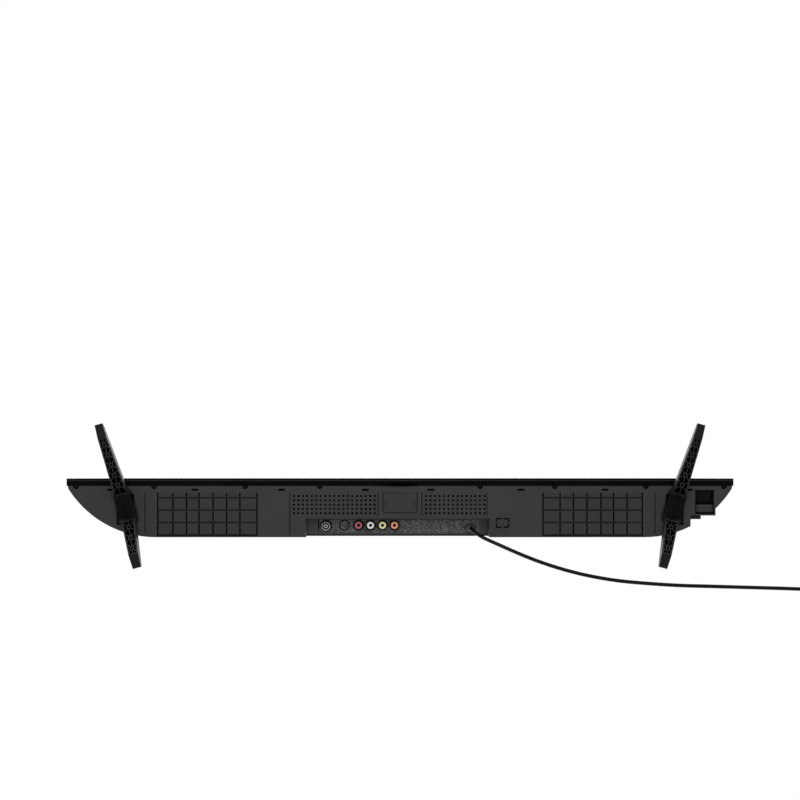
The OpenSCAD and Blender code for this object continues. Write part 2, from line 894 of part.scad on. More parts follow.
module rca_shells() {
    color("#cfd2d6") from_front()
        for (i = [0:3])
            translate([rca_x(i), jack_y, ceiling - 8]) difference() {
                cylinder(h = 18, r = 4.5);
                translate([0, 0, -1]) cylinder(h = 20, r = 4.15);
            }
}

module rca_insert(i) {
    from_front()
        translate([rca_x(i), jack_y, ceiling - 7.6]) difference() {
            cylinder(h = 16, r = 4.1);
            translate([0, 0, -1]) cylinder(h = 13, r = 1.6);
        }
}

module rca_insert_red() {
    color("#b3202a") rca_insert(0);
}

module rca_insert_white() {
    color("#e8e8e6") rca_insert(1);
}

module rca_insert_yellow() {
    color("#d9b21c") rca_insert(2);
}

module rca_insert_orange() {
    color("#cf6a1e") rca_insert(3);
}

// Side jacks in the right-hand bay

bay_front = pod_y[1];
side_rear = side_board_y + board_t;

// Outlines of the four side jacks, grown by the given wall, from one depth to another
module side_jacks(grow, y0, y1) {
    for (z = hdmi_z)
        span([side_x - 7 - grow, y0, z - 3 - grow], [side_x + 7 + grow, y1, z + 3 + grow]);
    span([side_x - 6.6 - grow, y0, usb_z - 3 - grow], [side_x + 6.6 + grow, y1, usb_z + 3 + grow]);
    bar_y(side_x, phone_z, y0, y1, 3.3 + grow);
}

module side_plate() {
    color("#3a3a3e") from_front() difference() {
        union() {
            span(
                [bay_x + 0.8, bay_front - 2, bottom + 32.2],
                [bay_x + 15.2, bay_front, bottom + bay_h - 1.2]
            );
            side_jacks(collar, bay_front, bay_front + collar_out);
        }
        side_jacks(0, bay_front - 5, bay_front + 5);
    }
}

module side_board() {
    color("#1e6b43") from_front()
        span([bay_x - 4, side_board_y, bottom + 32], [bay_x + 16, side_rear, bottom + bay_h - 2]);
}

// Open metal shell of a rectangular port, with its contact tongue
module port(z, w, h) {
    difference() {
        span([side_x - w / 2, side_rear, z - h / 2], [side_x + w / 2, bay_front + 2.8, z + h / 2]);
        span(
            [side_x - w / 2 + 0.5, side_rear + 2.4, z - h / 2 + 0.5],
            [side_x + w / 2 - 0.5, bay_front + 4, z + h / 2 - 0.5]
        );
    }
    span([side_x - w / 2 + 2, side_rear + 1.4, z - 0.7], [side_x + w / 2 - 2, bay_front + 1, z + 0.7]);
}

module hdmi_ports() {
    color("#b8bbc0") from_front()
        for (z = hdmi_z)
            port(z, 13.8, 5.6);
}

module usb_port() {
    color("#b8bbc0") from_front() port(usb_z, 13, 5.8);
}

module headphone_jack() {
    color("#151517") from_front() difference() {
        bar_y(side_x, phone_z, side_rear, bay_front + 2, 3.2);
        bar_y(side_x, phone_z, side_rear + 1, bay_front + 3, 1.75);
    }
}

// Power key

module power_paddle() {
    color("#5a5a5e") from_front() {
        along_x(well_x[0] + 0.8, well_x[1] - 0.8) {
            polygon([
                [28.8, bottom + 2], [37, bottom + 2], [37, bottom + 9], [pivot[0] + 1.4, pivot[1]],
                [pivot[0] + 1, arm_top], [arm_y, arm_top], [pivot[0] - 2.6, pivot[1] - 2],
                [28.8, bottom + 8]
            ]);
            for (y = [30.6, 34.6])
                translate([y, bottom + 2]) circle(r = 0.9);
        }
        translate([well_x[0] - 1.6, pivot[0], pivot[1]])
            rotate([0, 90, 0]) cylinder(h = well_x[1] - well_x[0] + 2.7, r = pin_r);
    }
}

module key_switch() {
    color("#26262a") from_front() {
        span([well_x[0] + 7, 27, bottom + 19], [well_x[0] + 13.5, 31, bottom + 25]);
        bar_y(well_x[0] + 10.2, bottom + 22, 31, plunger_y, 1.5);
    }
}

module key_board() {
    color("#1e6b43") from_front()
        span([well_x[0] + 0.2, 25.4, bottom + 18.6], [well_x[1] - 0.2, 27, bottom + pod_h - 2]);
}

// Speakers

module speaker_box(x) {
    z0 = bottom + wall;
    color("#1a1a1c") from_front() difference() {
        translate([x - speaker.x / 2, speaker_y, z0]) cube(speaker);
        span(
            [x - speaker.x / 2 + 2, speaker_y + 2, z0 + 4.5],
            [x + speaker.x / 2 - 2, speaker_y + speaker.y - 2, z0 + speaker.z - 2]
        );
        translate([x, speaker_y + speaker.y / 2, z0 - 1])
            linear_extrude(10) stadium(cone.x + 2 * cone_gap, cone.y + 2 * cone_gap);
    }
}

module speaker_magnet(x) {
    z0 = bottom + wall + 14.5;
    color("#7d8086") from_front() translate([x, speaker_y + speaker.y / 2, z0]) difference() {
        cylinder(h = speaker.z - 16.5, r = 9.4);
        translate([0, 0, -1]) difference() {
            cylinder(h = 13, r = 7.4);
            cylinder(h = 13, r = 5.3);
        }
    }
}

module speaker_cone(x) {
    z0 = bottom + wall + cone_travel + 1.1;
    color("#2a2a2c") from_front() translate([x, speaker_y + speaker.y / 2, z0]) {
        linear_extrude(1.2) stadium(cone.x, cone.y);
        difference() {
            cylinder(h = 18, r = 6.6);
            translate([0, 0, 1.2]) cylinder(h = 20, r = 6.1);
        }
    }
}

module speaker_box_left() {
    speaker_box(speaker_x[0]);
}

module speaker_box_right() {
    speaker_box(speaker_x[1]);
}

module speaker_magnet_left() {
    speaker_magnet(speaker_x[0]);
}

module speaker_magnet_right() {
    speaker_magnet(speaker_x[1]);
}

module speaker_cone_left() {
    speaker_cone(speaker_x[0]);
}

module speaker_cone_right() {
    speaker_cone(speaker_x[1]);
}

// Legs, drawn along u from the front tip to the rear tip of the right-hand one

module leg_place() {
    translate([leg_tip_x, -leg_front, 0]) rotate([0, 0, leg_turn]) children();
}

function leg_hw(u) =
    u < block_u[0] ? arm_hw[0] + (arm_hw[1] - arm_hw[0]) * u / block_u[0] :
    arm_hw[1] + (arm_hw[2] - arm_hw[1]) * (u - block_u[1]) / (leg_l - block_u[1]);

module leg_plan(inset) {
    w0 = leg_hw(0) - inset;
    w1 = leg_hw(block_u[0] - 4) - inset;
    w2 = leg_hw(block_u[1] + 4) - inset;
    w3 = leg_hw(leg_l) - inset;
    polygon([
        [inset, -w0], [block_u[0] - 4, -w1], [block_u[0], -block_hw], [block_u[1], -block_hw],
        [block_u[1] + 4, -w2], [leg_l - inset, -w3], [leg_l - inset, w3], [block_u[1] + 4, w2],
        [block_u[1], block_hw], [block_u[0], block_hw], [block_u[0] - 4, w1], [inset, w0]
    ]);
}

// Side view of a leg as (u, z)
module leg_side() {
    polygon([
        [0, pad_t], [0, 9], [2.5, 13], [block_u[0] - 2, bottom - 1], [block_u[0], bottom - 1],
        [block_u[0], block_z[1]], [block_u[1], block_z[1]], [block_u[1], bottom - 1],
        [block_u[1] + 2, bottom - 1], [leg_l - 2.5, 13], [leg_l, 9], [leg_l, pad_t],
        [leg_l - pad_l, pad_t], [block_u[1] - 2, block_z[0]], [block_u[0] + 2, block_z[0]], [pad_l, pad_t]
    ]);
}

// Side view of the open pockets under the arms
module leg_hollow_side() {
    roof = 3.5;
    polygon([
        [pad_l + 1, -5], [pad_l + 1, 15.5 - roof], [block_u[0] - 2, bottom - 2 - roof], [block_u[0] - 2, -5]
    ]);
    polygon([
        [leg_l - pad_l - 1, -5], [leg_l - pad_l - 1, 15.5 - roof], [block_u[1] + 2, bottom - 2 - roof],
        [block_u[1] + 2, -5]
    ]);
}

// Ring at a place along the arm, with a rib to each wall
module rib_star(u) {
    w = leg_hw(u);
    circle(r = 2.3, $fn = 24);
    for (a = [-1, 1])
        rotate(a * atan2(w, ring_pitch / 2))
            square([2 * norm([w, ring_pitch / 2]), rib], center = true);
}

front_rings = [for (u = [pad_l + 7 : ring_pitch : block_u[0] - 6]) u];
rear_rings = [for (u = [block_u[1] + 8 : ring_pitch : leg_l - pad_l - 3]) u];

module leg_cells() {
    difference() {
        leg_plan(skin);
        translate([0, -rib / 2]) square([leg_l, rib]);
        for (u = concat(front_rings, rear_rings))
            translate([u, 0]) rib_star(u);
    }
    for (u = concat(front_rings, rear_rings))
        translate([u, 0]) circle(r = 1.3, $fn = 24);
}

// Turns an outline drawn as (u, z) into a slab across the leg
module across_leg(w) {
    translate([0, w / 2, 0]) rotate([90, 0, 0]) linear_extrude(w) children();
}

// The block's upper end is cut to a tongue that fits the pocket
module leg() {
    difference() {
        leg_place() difference() {
            intersection() {
                translate([0, 0, -1]) linear_extrude(body_h) leg_plan(0);
                across_leg(30) leg_side();
            }
            intersection() {
                translate([0, 0, -5]) linear_extrude(body_h) leg_cells();
                across_leg(30) leg_hollow_side();
            }
            for (u = leg_screw_u)
                translate([u, 0, 0]) {
                    translate([0, 0, block_z[0] - 1]) cylinder(h = 5, r = 3.6);
                    translate([0, 0, block_z[0]]) cylinder(h = 40, r = 2.2);
                }
        }
        difference() {
            span([0, -far, bottom - seat_gap], [half_w, far, bottom + 30]);
            leg_room(-pocket_fit, 40);
        }
    }
}

module leg_right() {
    color("#121214") from_front() leg();
}

module leg_left() {
    color("#121214") from_front() mirror([1, 0, 0]) leg();
}

module leg_pads() {
    color("#0c0c0d") from_front()
        both_sides()
            leg_place()
                intersection() {
                    linear_extrude(pad_t) leg_plan(0.4);
                    union() {
                        span([0, -20, -1], [pad_l - 0.5, 20, 10]);
                        span([leg_l - pad_l + 0.5, -20, -1], [leg_l, 20, 10]);
                    }
                }
}

module leg_screws() {
    color("#8f9297") from_front()
        both_sides()
            leg_place()
                for (u = leg_screw_u)
                    translate([u, 0, block_z[0] + 0.5]) difference() {
                        union() {
                            cylinder(h = 3.5, r = 3.3);
                            cylinder(h = 29, r = 1.95);
                        }
                        for (a = [0, 90])
                            rotate([0, 0, a]) cube([3.6, 0.8, 2], center = true);
                    }
}

module leg_brackets() {
    z0 = block_z[1] + wall;
    color("#9aa0a6") from_front()
        both_sides() difference() {
            union() {
                span([block_x - 10, 16, z0], [block_x + 12, 47, z0 + 2]);
                span([block_x - 10, pan_rear, z0], [block_x + 12, pan_rear + 2, bottom + 72]);
            }
            leg_place()
                for (u = leg_screw_u)
                    translate([u, 0, 0]) cylinder(h = 200, r = 2);
        }
}

module wall_mount_inserts() {
    color("#c3c6ca") from_front()
        both_sides()
            for (k = [0, 1])
                difference() {
                    bar_y(vesa_w / 2, vesa_z + k * vesa_h, pan_rear, body_d, 6);
                    bar_y(vesa_w / 2, vesa_z + k * vesa_h, body_d - 16, body_d + 1, 2);
                }
}

// Mains lead

module cord_gland() {
    color("#1b1b1d") from_front() translate([gland.x, gland.y, ceiling - gland_l]) {
        rotate_extrude()
            polygon([
                [0, 0], [cord_r + 0.8, 0], [3.9, gland_l - 1.4], [4, gland_l], [4, gland_l + 2],
                [0, gland_l + 2]
            ]);
        translate([-5.5, -4.6, gland_l + 2]) cube([11, 9.2, 3]);
    }
}

cord_start = [gland.x, gland.y + front_y, ceiling - gland_l];
cord_path = smooth(concat([cord_start, cord_start - [0, 0, 6]], route), route_steps);

module power_cord() {
    color("#1a1a1c") tube(cord_path, cord_r, 8, [1, 0, 0]);
}

// Coil: in along the lower layer and out along the upper one, with the climb at the innermost half turn
half_turns = coil_turns / 2;
function ease(s) = s <= 0 ? 0 : s >= 1 ? 1 : s * s * (3 - 2 * s);
function coil_radius(n) = coil_out - (coil_out - coil_in) * (1 - abs(n - half_turns) / half_turns);
function coil_height(n) = coil_z + coil_pitch * ease((n - half_turns) * 2 + 0.5);
function coil_point(n) =
    let (a = 90 - 360 * n, r = coil_radius(n))
    [coil_c.x + r * cos(a), coil_c.y + r * sin(a), coil_height(n)];
coil_path = concat(
    [[coil_c.x - 10, coil_c.y + coil_out, coil_z], [coil_c.x - 5, coil_c.y + coil_out, coil_z]],
    [for (i = [0:coil_turns * coil_steps]) coil_point(i / coil_steps)],
    [for (s = [0.25, 0.5, 0.75, 0.88, 1]) [coil_c.x + coil_out, coil_c.y - s * tail, plug_z]]
);

function nearest(p, skip) = min([
    for (i = [0:len(p) - 1], j = [0:len(p) - 1])
        if (j > i + skip) norm(p[i] - p[j])
]);

module power_cord_coil() {
    color("#1a1a1c") tube(coil_path, cord_r, 6, [0, 0, 1]);
    echo(least_gap = nearest(coil_path, 14) - cord_d);
    echo(cord_length = run_of(cord_path) + run_of(coil_path));
}

module coil_tie() {
    r0 = coil_in - cord_r - 0.6;
    r1 = coil_out + cord_r + 0.6;
    h0 = coil_z - cord_r - 0.1;
    h1 = coil_z + coil_pitch + cord_r + 0.4;
    color("#101011")
        translate([coil_c.x, coil_c.y, 0])
            rotate([0, 0, tie_angle]) difference() {
                span([r0 - tie_t, -tie_w / 2, h0 - tie_t], [r1 + tie_t, tie_w / 2, h1 + tie_t]);
                span([r0, -tie_w, h0], [r1, tie_w, h1]);
            }
}

// Flat two-pin plug lying beside the coil, pins towards the front
module plug_body() {
    color("#1a1a1c") translate([coil_c.x + coil_out, plug_y, plug_z]) {
        rotate([90, 0, 0]) cylinder(h = plug_relief, r1 = cord_r + 0.6, r2 = 5.4);
        translate([0, -plug_relief, -plug_t / 2])
            linear_extrude(plug_t)
                polygon([
                    [-7, 0], [7, 0], [plug_w / 2, -14], [plug_w / 2, -plug_l], [-plug_w / 2, -plug_l],
                    [-plug_w / 2, -14]
                ]);
    }
}

module plug_pins() {
    color("#cdb26a")
        for (s = [-1, 1])
            translate([coil_c.x + coil_out + s * pin_gap / 2, plug_y - plug_relief - plug_l, plug_z])
                rotate([90, 0, 0]) cylinder(h = pin_l, r = 2);
}

front_bezel();
lcd_panel();
optical_sheets();
diffuser_plate();
middle_frame();
reflector();
led_bars();
led_lenses();
backlight_pan();
rear_cover();
service_cover();
ir_window();
ir_board();
cover_screws();
main_board();
main_heatsink();
main_board_parts();
tuner_can();
power_board();
power_board_parts();
tcon_board();
signal_cable();
board_standoffs();
jack_plate();
antenna_jack();
rca_block();
rca_shells();
rca_insert_red();
rca_insert_white();
rca_insert_yellow();
rca_insert_orange();
side_plate();
side_board();
hdmi_ports();
usb_port();
headphone_jack();
power_paddle();
key_switch();
key_board();
speaker_box_left();
speaker_box_right();
speaker_magnet_left();
speaker_magnet_right();
speaker_cone_left();
speaker_cone_right();
leg_left();
leg_right();
leg_pads();
leg_screws();
leg_brackets();
wall_mount_inserts();
cord_gland();
power_cord();
power_cord_coil();
coil_tie();
plug_body();
plug_pins();
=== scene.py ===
import json
import math

import bmesh
import bpy
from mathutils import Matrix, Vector

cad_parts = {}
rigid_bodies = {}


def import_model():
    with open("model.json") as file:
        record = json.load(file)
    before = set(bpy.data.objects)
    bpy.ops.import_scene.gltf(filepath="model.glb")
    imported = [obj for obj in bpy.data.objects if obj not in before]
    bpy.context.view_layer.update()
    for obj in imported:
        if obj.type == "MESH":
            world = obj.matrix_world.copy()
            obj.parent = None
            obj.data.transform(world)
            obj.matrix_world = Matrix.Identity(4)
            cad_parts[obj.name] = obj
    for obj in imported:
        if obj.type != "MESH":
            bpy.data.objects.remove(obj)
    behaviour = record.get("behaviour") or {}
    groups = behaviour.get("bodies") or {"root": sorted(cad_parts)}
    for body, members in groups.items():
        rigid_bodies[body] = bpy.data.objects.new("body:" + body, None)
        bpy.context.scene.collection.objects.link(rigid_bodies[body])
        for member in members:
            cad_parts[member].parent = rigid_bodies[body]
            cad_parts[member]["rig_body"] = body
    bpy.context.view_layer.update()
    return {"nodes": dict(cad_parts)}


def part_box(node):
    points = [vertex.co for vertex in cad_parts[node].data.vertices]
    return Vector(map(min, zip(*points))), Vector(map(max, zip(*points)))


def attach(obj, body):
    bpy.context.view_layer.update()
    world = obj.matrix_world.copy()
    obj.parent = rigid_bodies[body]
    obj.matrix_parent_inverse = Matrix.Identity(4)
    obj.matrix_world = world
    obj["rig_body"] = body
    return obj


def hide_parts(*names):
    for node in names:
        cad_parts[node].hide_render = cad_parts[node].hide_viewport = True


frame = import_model()
nodes = frame["nodes"]

MM = 0.001
scene = bpy.context.scene
scene.view_settings.view_transform = "Standard"


# Small helpers

def srgb(code):
    """Linear colour of an sRGB hex code."""
    parts = [int(code[i : i + 2], 16) / 255 for i in (1, 3, 5)]
    linear = [c / 12.92 if c <= 0.04045 else ((c + 0.055) / 1.055) ** 2.4 for c in parts]
    return (*linear, 1.0)


def fill(tree, node, inputs):
    """Sets inputs of a node: each takes a value, or the output that feeds it."""
    for key, value in inputs.items():
        if isinstance(value, bpy.types.NodeSocket):
            tree.links.new(value, node.inputs[key])
        else:
            node.inputs[key].default_value = value


def add(tree, kind, inputs=None, **settings):
    """Adds one node with its properties and inputs."""
    node = tree.nodes.new(kind)
    for name, value in settings.items():
        setattr(node, name, value)
    fill(tree, node, inputs or {})
    return node


def new_object(name, data):
    """An object of this scene for a mesh, a lamp or a camera."""
    obj = bpy.data.objects.new(name, data)
    scene.collection.objects.link(obj)
    return obj


def settle(obj, turn):
    """Gives an object the mesh that its modifiers make, smooth but for edges past a turn in degrees."""
    graph = bpy.context.evaluated_depsgraph_get()
    mesh = bpy.data.meshes.new_from_object(obj.evaluated_get(graph), depsgraph=graph)
    obj.modifiers.clear()
    obj.data = mesh
    mesh.shade_smooth()
    mesh.set_sharp_from_angle(angle=math.radians(turn))


# Datum of the set: the front face and the lower edge of its bezel
bezel_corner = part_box("front_bezel")[0]
BEZEL_FRONT = bezel_corner.y
BOTTOM_EDGE = bezel_corner.z


# Camera: below the set and looking straight up, with the screen side at the top of the picture
CAMERA_DROP = 2.610
CAMERA_AHEAD = 1.5 * MM
CAMERA_REACH = 20
PIXELS = 800
PIXELS_PER_MM = 0.911
BEZEL_ROW = 478.48
AXIS_ROW = BEZEL_ROW - PIXELS_PER_MM * CAMERA_AHEAD / MM
SENSOR = 36

lens = bpy.data.cameras.new("camera")
lens.sensor_width = SENSOR
lens.lens = PIXELS_PER_MM / MM * CAMERA_DROP * SENSOR / PIXELS
lens.shift_y = AXIS_ROW / PIXELS - 0.5
lens.clip_end = CAMERA_REACH
camera = new_object("camera", lens)
camera.location = (0, BEZEL_FRONT - CAMERA_AHEAD, BOTTOM_EDGE - CAMERA_DROP)
camera.rotation_euler = (math.pi, 0, 0)
scene.camera = camera


# Mains lead: one round cord from the gland over the floor, then a flat coil of two layers and the plug
CORD_D = 4 * MM
CORD_SIDES = 20
CORD_DROP = 6 * MM
ROUTE_STEPS = 3
COIL_TURNS = 7.25
COIL_STEPS = 48
COIL_PITCH = CORD_D + 0.6 * MM
COIL_OUT = 32.2 * MM
COIL_IN = COIL_OUT - COIL_PITCH * (COIL_TURNS - 0.25) / 2
COIL_LOW = 3 * MM
COIL_CENTRE = Vector((470, 67.8, 0)) * MM
COIL_LEAD = 5 * MM
TAIL = 38 * MM
ROUTE = [
    (80, 38, 77), (84, 41.5, 65), (92, 46.3, 52), (103, 51.2, 39), (117, 57.3, 27), (134, 64.5, 16),
    (154, 72, 8), (178, 79.5, 4), (205, 86, 2.4), (235, 91, 2.2), (268, 94, 2.2), (300, 96, 2.2),
    (335, 97, 2.2), (370, 98, 2.2), (405, 99, 2.4), (435, 100, 2.8), (450, 100, 3), (460, 100, 3),
]


def smooth(points, steps):
    """Catmull-Rom curve through the points, with its ends doubled."""
    padded = [points[0], *points, points[-1]]
    curve = []
    for a, b, c, d in zip(padded, padded[1:], padded[2:], padded[3:]):
        for i in range(steps):
            s = i / steps
            bend = 2 * a - 5 * b + 4 * c - d
            twist = 3 * b - a - 3 * c + d
            curve.append(b + 0.5 * s * (c - a + s * (bend + s * twist)))
    return [*curve, points[-1]]


def eased(s):
    """A step from 0 to 1 with soft ends."""
    s = min(max(s, 0), 1)
    return s * s * (3 - 2 * s)


def coil_point(turn):
    """A point of the coil: in along the lower layer, up at the innermost turn, out along the upper one."""
    middle = COIL_TURNS / 2
    angle = math.pi / 2 - 2 * math.pi * turn
    radius = COIL_OUT - (COIL_OUT - COIL_IN) * (1 - abs(turn - middle) / middle)
    height = COIL_LOW + COIL_PITCH * eased((turn - middle) * 2 + 0.5)
    return COIL_CENTRE + Vector((radius * math.cos(angle), radius * math.sin(angle), height))


gland_low, gland_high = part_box("cord_gland")
cord_exit = Vector(((gland_low.x + gland_high.x) / 2, (gland_low.y + gland_high.y) / 2, gland_low.z))
way_down = [cord_exit, cord_exit - Vector((0, 0, CORD_DROP)), *(Vector(p) * MM for p in ROUTE)]
cord_path = smooth(way_down, ROUTE_STEPS)
cord_path.append(COIL_CENTRE + Vector((-COIL_LEAD, COIL_OUT, COIL_LOW)))
cord_path += [coil_point(i / COIL_STEPS) for i in range(round(COIL_TURNS * COIL_STEPS) + 1)]
tail_start = COIL_CENTRE + Vector((COIL_OUT, 0, COIL_LOW + COIL_PITCH))
cord_path += [tail_start - Vector((0, s * TAIL, 0)) for s in (0.25, 0.5, 0.75, 1)]


def tube(name, path, radius, sides):
    """Round tube along a path, its section carried along untwisted; U runs along the tube, V round it."""
    mesh = bpy.data.meshes.new(name)
    shape = bmesh.new()
    uv = shape.loops.layers.uv.new("along")
    last = len(path) - 1
    tangents = [(path[min(i + 1, last)] - path[max(i - 1, 0)]).normalized() for i in range(len(path))]
    turns = [2 * math.pi * k / sides for k in range(sides)]
    side = tangents[0].orthogonal().normalized()
    rings = []
    runs = []
    run = 0
    for i, (point, tangent) in enumerate(zip(path, tangents)):
        side = (side - tangent * side.dot(tangent)).normalized()
        up = tangent.cross(side)
        round_it = [point + radius * (math.cos(t) * side + math.sin(t) * up) for t in turns]
        rings.append([shape.verts.new(place) for place in round_it])
        run += (point - path[i - 1]).length if i else 0
        runs.append(run)
    for i in range(last):
        for k in range(sides):
            n = (k + 1) % sides
            face = shape.faces.new((rings[i][k], rings[i][n], rings[i + 1][n], rings[i + 1][k]))
            face.smooth = True
            places = [(runs[i], k), (runs[i], k + 1), (runs[i + 1], k + 1), (runs[i + 1], k)]
            for loop, (along, step) in zip(face.loops, places):
                loop[uv].uv = (along, step / sides)
    shape.faces.new(rings[0][::-1])
    shape.faces.new(rings[-1])
    shape.to_mesh(mesh)
    shape.free()
    return new_object(name, mesh)


mains_cord = tube("mains_cord", cord_path, CORD_D / 2, CORD_SIDES)


# Materials
#
# Moulded and coated pieces start from one mixture: two close colours in a faint cloudy mottle, painted shade
# in corners, and the grain of the tool in gloss and relief. Real grain is finer than the render can show, so
# it is drawn coarser. Metals, boards, films and paper have patterns of their own.
MOTTLE = 24 * MM
# Painted shade in lines, slots and corners: how far it reaches and how steeply it darkens
CREVICE_SHADE_REACH = 4 * MM
CREVICE_SHADE_POWER = 2.8
BAND_BLUR = 0.05 * MM
NOISE_SPAN = {"From Min": 0.3, "From Max": 0.7}

# Bezel: how far behind its front the painted highlight line runs, and half the width of that line
HIGHLIGHT_LINE_BACK = 2.1 * MM
HIGHLIGHT_LINE_HALF = 0.5 * MM

# Rear cover: speaker fields on both sides, given for the right-hand one, and the lines along them
FIELD_MIDDLE = (211.5 * MM, BEZEL_FRONT + 39 * MM, BOTTOM_EDGE)
FIELD_HALF = (54 * MM, 23 * MM, 3 * MM)
FIELD_SHADE = 0.13
FIELD_LINES = (21.2 * MM, 34.6 * MM, 48.3 * MM)
LINE_HALF = (FIELD_HALF[0], 0.9 * MM, FIELD_HALF[2])
# Share of the painted shade in lines that is taken back off the lines along the fields
LINE_SHADE_LIFT = 0.4

# Rear cover: painted light on the ceiling of the connector recess and painted shade along its rear edge,
# each with middle, half size and colour
RECESS_X = -2.75 * MM
RECESS_HALF_X = 101.2 * MM
CEILING = BOTTOM_EDGE + 60 * MM
RECESS_LIGHT_AND_SHADE = [
    ((RECESS_X, BEZEL_FRONT + 54 * MM, CEILING), (RECESS_HALF_X, 10 * MM, 0.5 * MM), "#464647"),
    ((RECESS_X, BEZEL_FRONT + 63.7 * MM, CEILING), (RECESS_HALF_X, 0.8 * MM, 0.6 * MM), "#0c0c0d"),
]

# Rear cover: painted shade in the finger well of the power key
WELL_SHADE_MIDDLE = (334.3 * MM, 0.2 * MM, BOTTOM_EDGE + 27 * MM)
WELL_SHADE_REACH = 22 * MM

# Jack plate: size of a speck, and the heights at which the painted shade in its grooves begins and is fully
# black
SPECK = 1.3 * MM
GROOVE_SHADE_START = CEILING + 0.2 * MM
GROOVE_SHADE_FULL = CEILING + 0.6 * MM

# Legs: heights between which the arms' grey turns to the painted shade, near black, of the block
BLOCK_SHADE_START = BOTTOM_EDGE - 23 * MM
BLOCK_SHADE_FULL = BOTTOM_EDGE - 18 * MM


def start(name):
    """An empty material with its Principled shader and a place in metres for the patterns."""
    made = bpy.data.materials.new(name)
    made.use_nodes = True
    tree = made.node_tree
    tree.nodes.clear()
    shader = add(tree, "ShaderNodeBsdfPrincipled")
    add(tree, "ShaderNodeOutputMaterial", {"Surface": shader.outputs["BSDF"]})
    place = add(tree, "ShaderNodeTexCoord").outputs["Object"]
    return made, tree, shader, place


def mottled(tree, place, dark, light):
    """Two close colours in a cloudy mottle, as the flow of the melt leaves them."""
    cloud = add(tree, "ShaderNodeTexNoise", {"Vector": place, "Scale": 1 / MOTTLE, "Detail": 3.0})
    share = add(tree, "ShaderNodeMapRange", {"Value": cloud.outputs["Fac"], **NOISE_SPAN})
    both = {0: share.outputs["Result"], 6: srgb(dark), 7: srgb(light)}
    return add(tree, "ShaderNodeMix", both, data_type="RGBA").outputs[2]


def crevice_shaded(tree, colour):
    """The colour with painted shade that darkens lines, slots and corners."""
    corners = add(tree, "ShaderNodeAmbientOcclusion", {"Distance": CREVICE_SHADE_REACH}, samples=8)
    kept = add(tree, "ShaderNodeMath", {0: corners.outputs["AO"], 1: CREVICE_SHADE_POWER}, operation="POWER")
    both = {0: kept.outputs["Value"], 6: srgb("#020202"), 7: colour}
    return add(tree, "ShaderNodeMix", both, data_type="RGBA").outputs[2]


def banded(tree, place, node, bands, colour):
    """The colour with bands round a node's upright axis: radius and colour of each, the widest first."""
    low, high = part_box(node)
    middle = (low + high) / 2
    level = add(tree, "ShaderNodeVectorMath", {0: place, 1: (1, 1, 0)}, operation="MULTIPLY")
    ends = {0: level.outputs["Vector"], 1: (middle.x, middle.y, 0)}
    away = add(tree, "ShaderNodeVectorMath", ends, operation="DISTANCE").outputs["Value"]
    for radius, code in bands:
        limits = {"Value": away, "From Min": radius, "From Max": radius + BAND_BLUR}
        share = add(tree, "ShaderNodeMapRange", limits)
        both = {0: share.outputs["Result"], 6: srgb(code), 7: colour}
        colour = add(tree, "ShaderNodeMix", both, data_type="RGBA").outputs[2]
    return colour


def within(tree, spot, middle, half, share=1.0):
    """A share inside a box given by its middle and half sizes, and none outside it."""
    for reach, at, side in zip(spot, middle, half):
        held = add(tree, "ShaderNodeMath", {0: reach, 1: at, 2: side}, operation="COMPARE")
        both = {0: held.outputs["Value"], 1: share}
        share = add(tree, "ShaderNodeMath", both, operation="MULTIPLY").outputs["Value"]
    return share


def tooled(tree, shader, place, gloss, grain, depth, edge=0.0):
    """Grain of the tool: a fine noise in the gloss and the relief, over edges that shade as small rounds."""
    texture = {"Vector": place, "Scale": 1 / grain, "Roughness": 0.6}
    fine = add(tree, "ShaderNodeTexNoise", texture).outputs["Fac"]
    limits = {"Value": fine, **NOISE_SPAN, "To Min": gloss[0], "To Max": gloss[1]}
    fill(tree, shader, {"Roughness": add(tree, "ShaderNodeMapRange", limits).outputs["Result"]})
    if depth:
        relief = {"Height": fine, "Distance": depth}
        if edge:
            relief["Normal"] = add(tree, "ShaderNodeBevel", {"Radius": edge}, samples=4).outputs["Normal"]
        fill(tree, shader, {"Normal": add(tree, "ShaderNodeBump", relief).outputs["Normal"]})


def skin(name, dark, light, gloss, grain, depth, specular=0.3, node=None, bands=()):
    """A moulded or coated skin: two close colours with painted shade in corners, gloss range, grain size and
    depth, bands round a node.
    """
    made, tree, shader, place = start(name)
    colour = mottled(tree, place, dark, light)
    if node:
        colour = banded(tree, place, node, bands, colour)
    # Painted shade in slots and corners
    fill(tree, shader, {"Base Color": crevice_shaded(tree, colour), "Specular IOR Level": specular})
    tooled(tree, shader, place, gloss, grain, depth)
    return made


def bezel_plastic():
    """Bezel: black ABS from a bead-blasted tool, with a thin painted highlight line round it near its front
    edge.
    """
    made, tree, shader, place = start("bezel_abs")
    back = add(tree, "ShaderNodeSeparateXYZ", {"Vector": place}).outputs["Y"]
    # Painted highlight: a lighter line along the underside near the front edge
    line = within(tree, [back], [BEZEL_FRONT + HIGHLIGHT_LINE_BACK], [HIGHLIGHT_LINE_HALF])
    both = {0: line, 6: mottled(tree, place, "#050506", "#080809"), 7: srgb("#2a2a2b")}
    colour = add(tree, "ShaderNodeMix", both, data_type="RGBA").outputs[2]
    fill(tree, shader, {"Base Color": colour, "Specular IOR Level": 0.3})
    tooled(tree, shader, place, (0.22, 0.28), 0.5 * MM, 0.0)
    return made


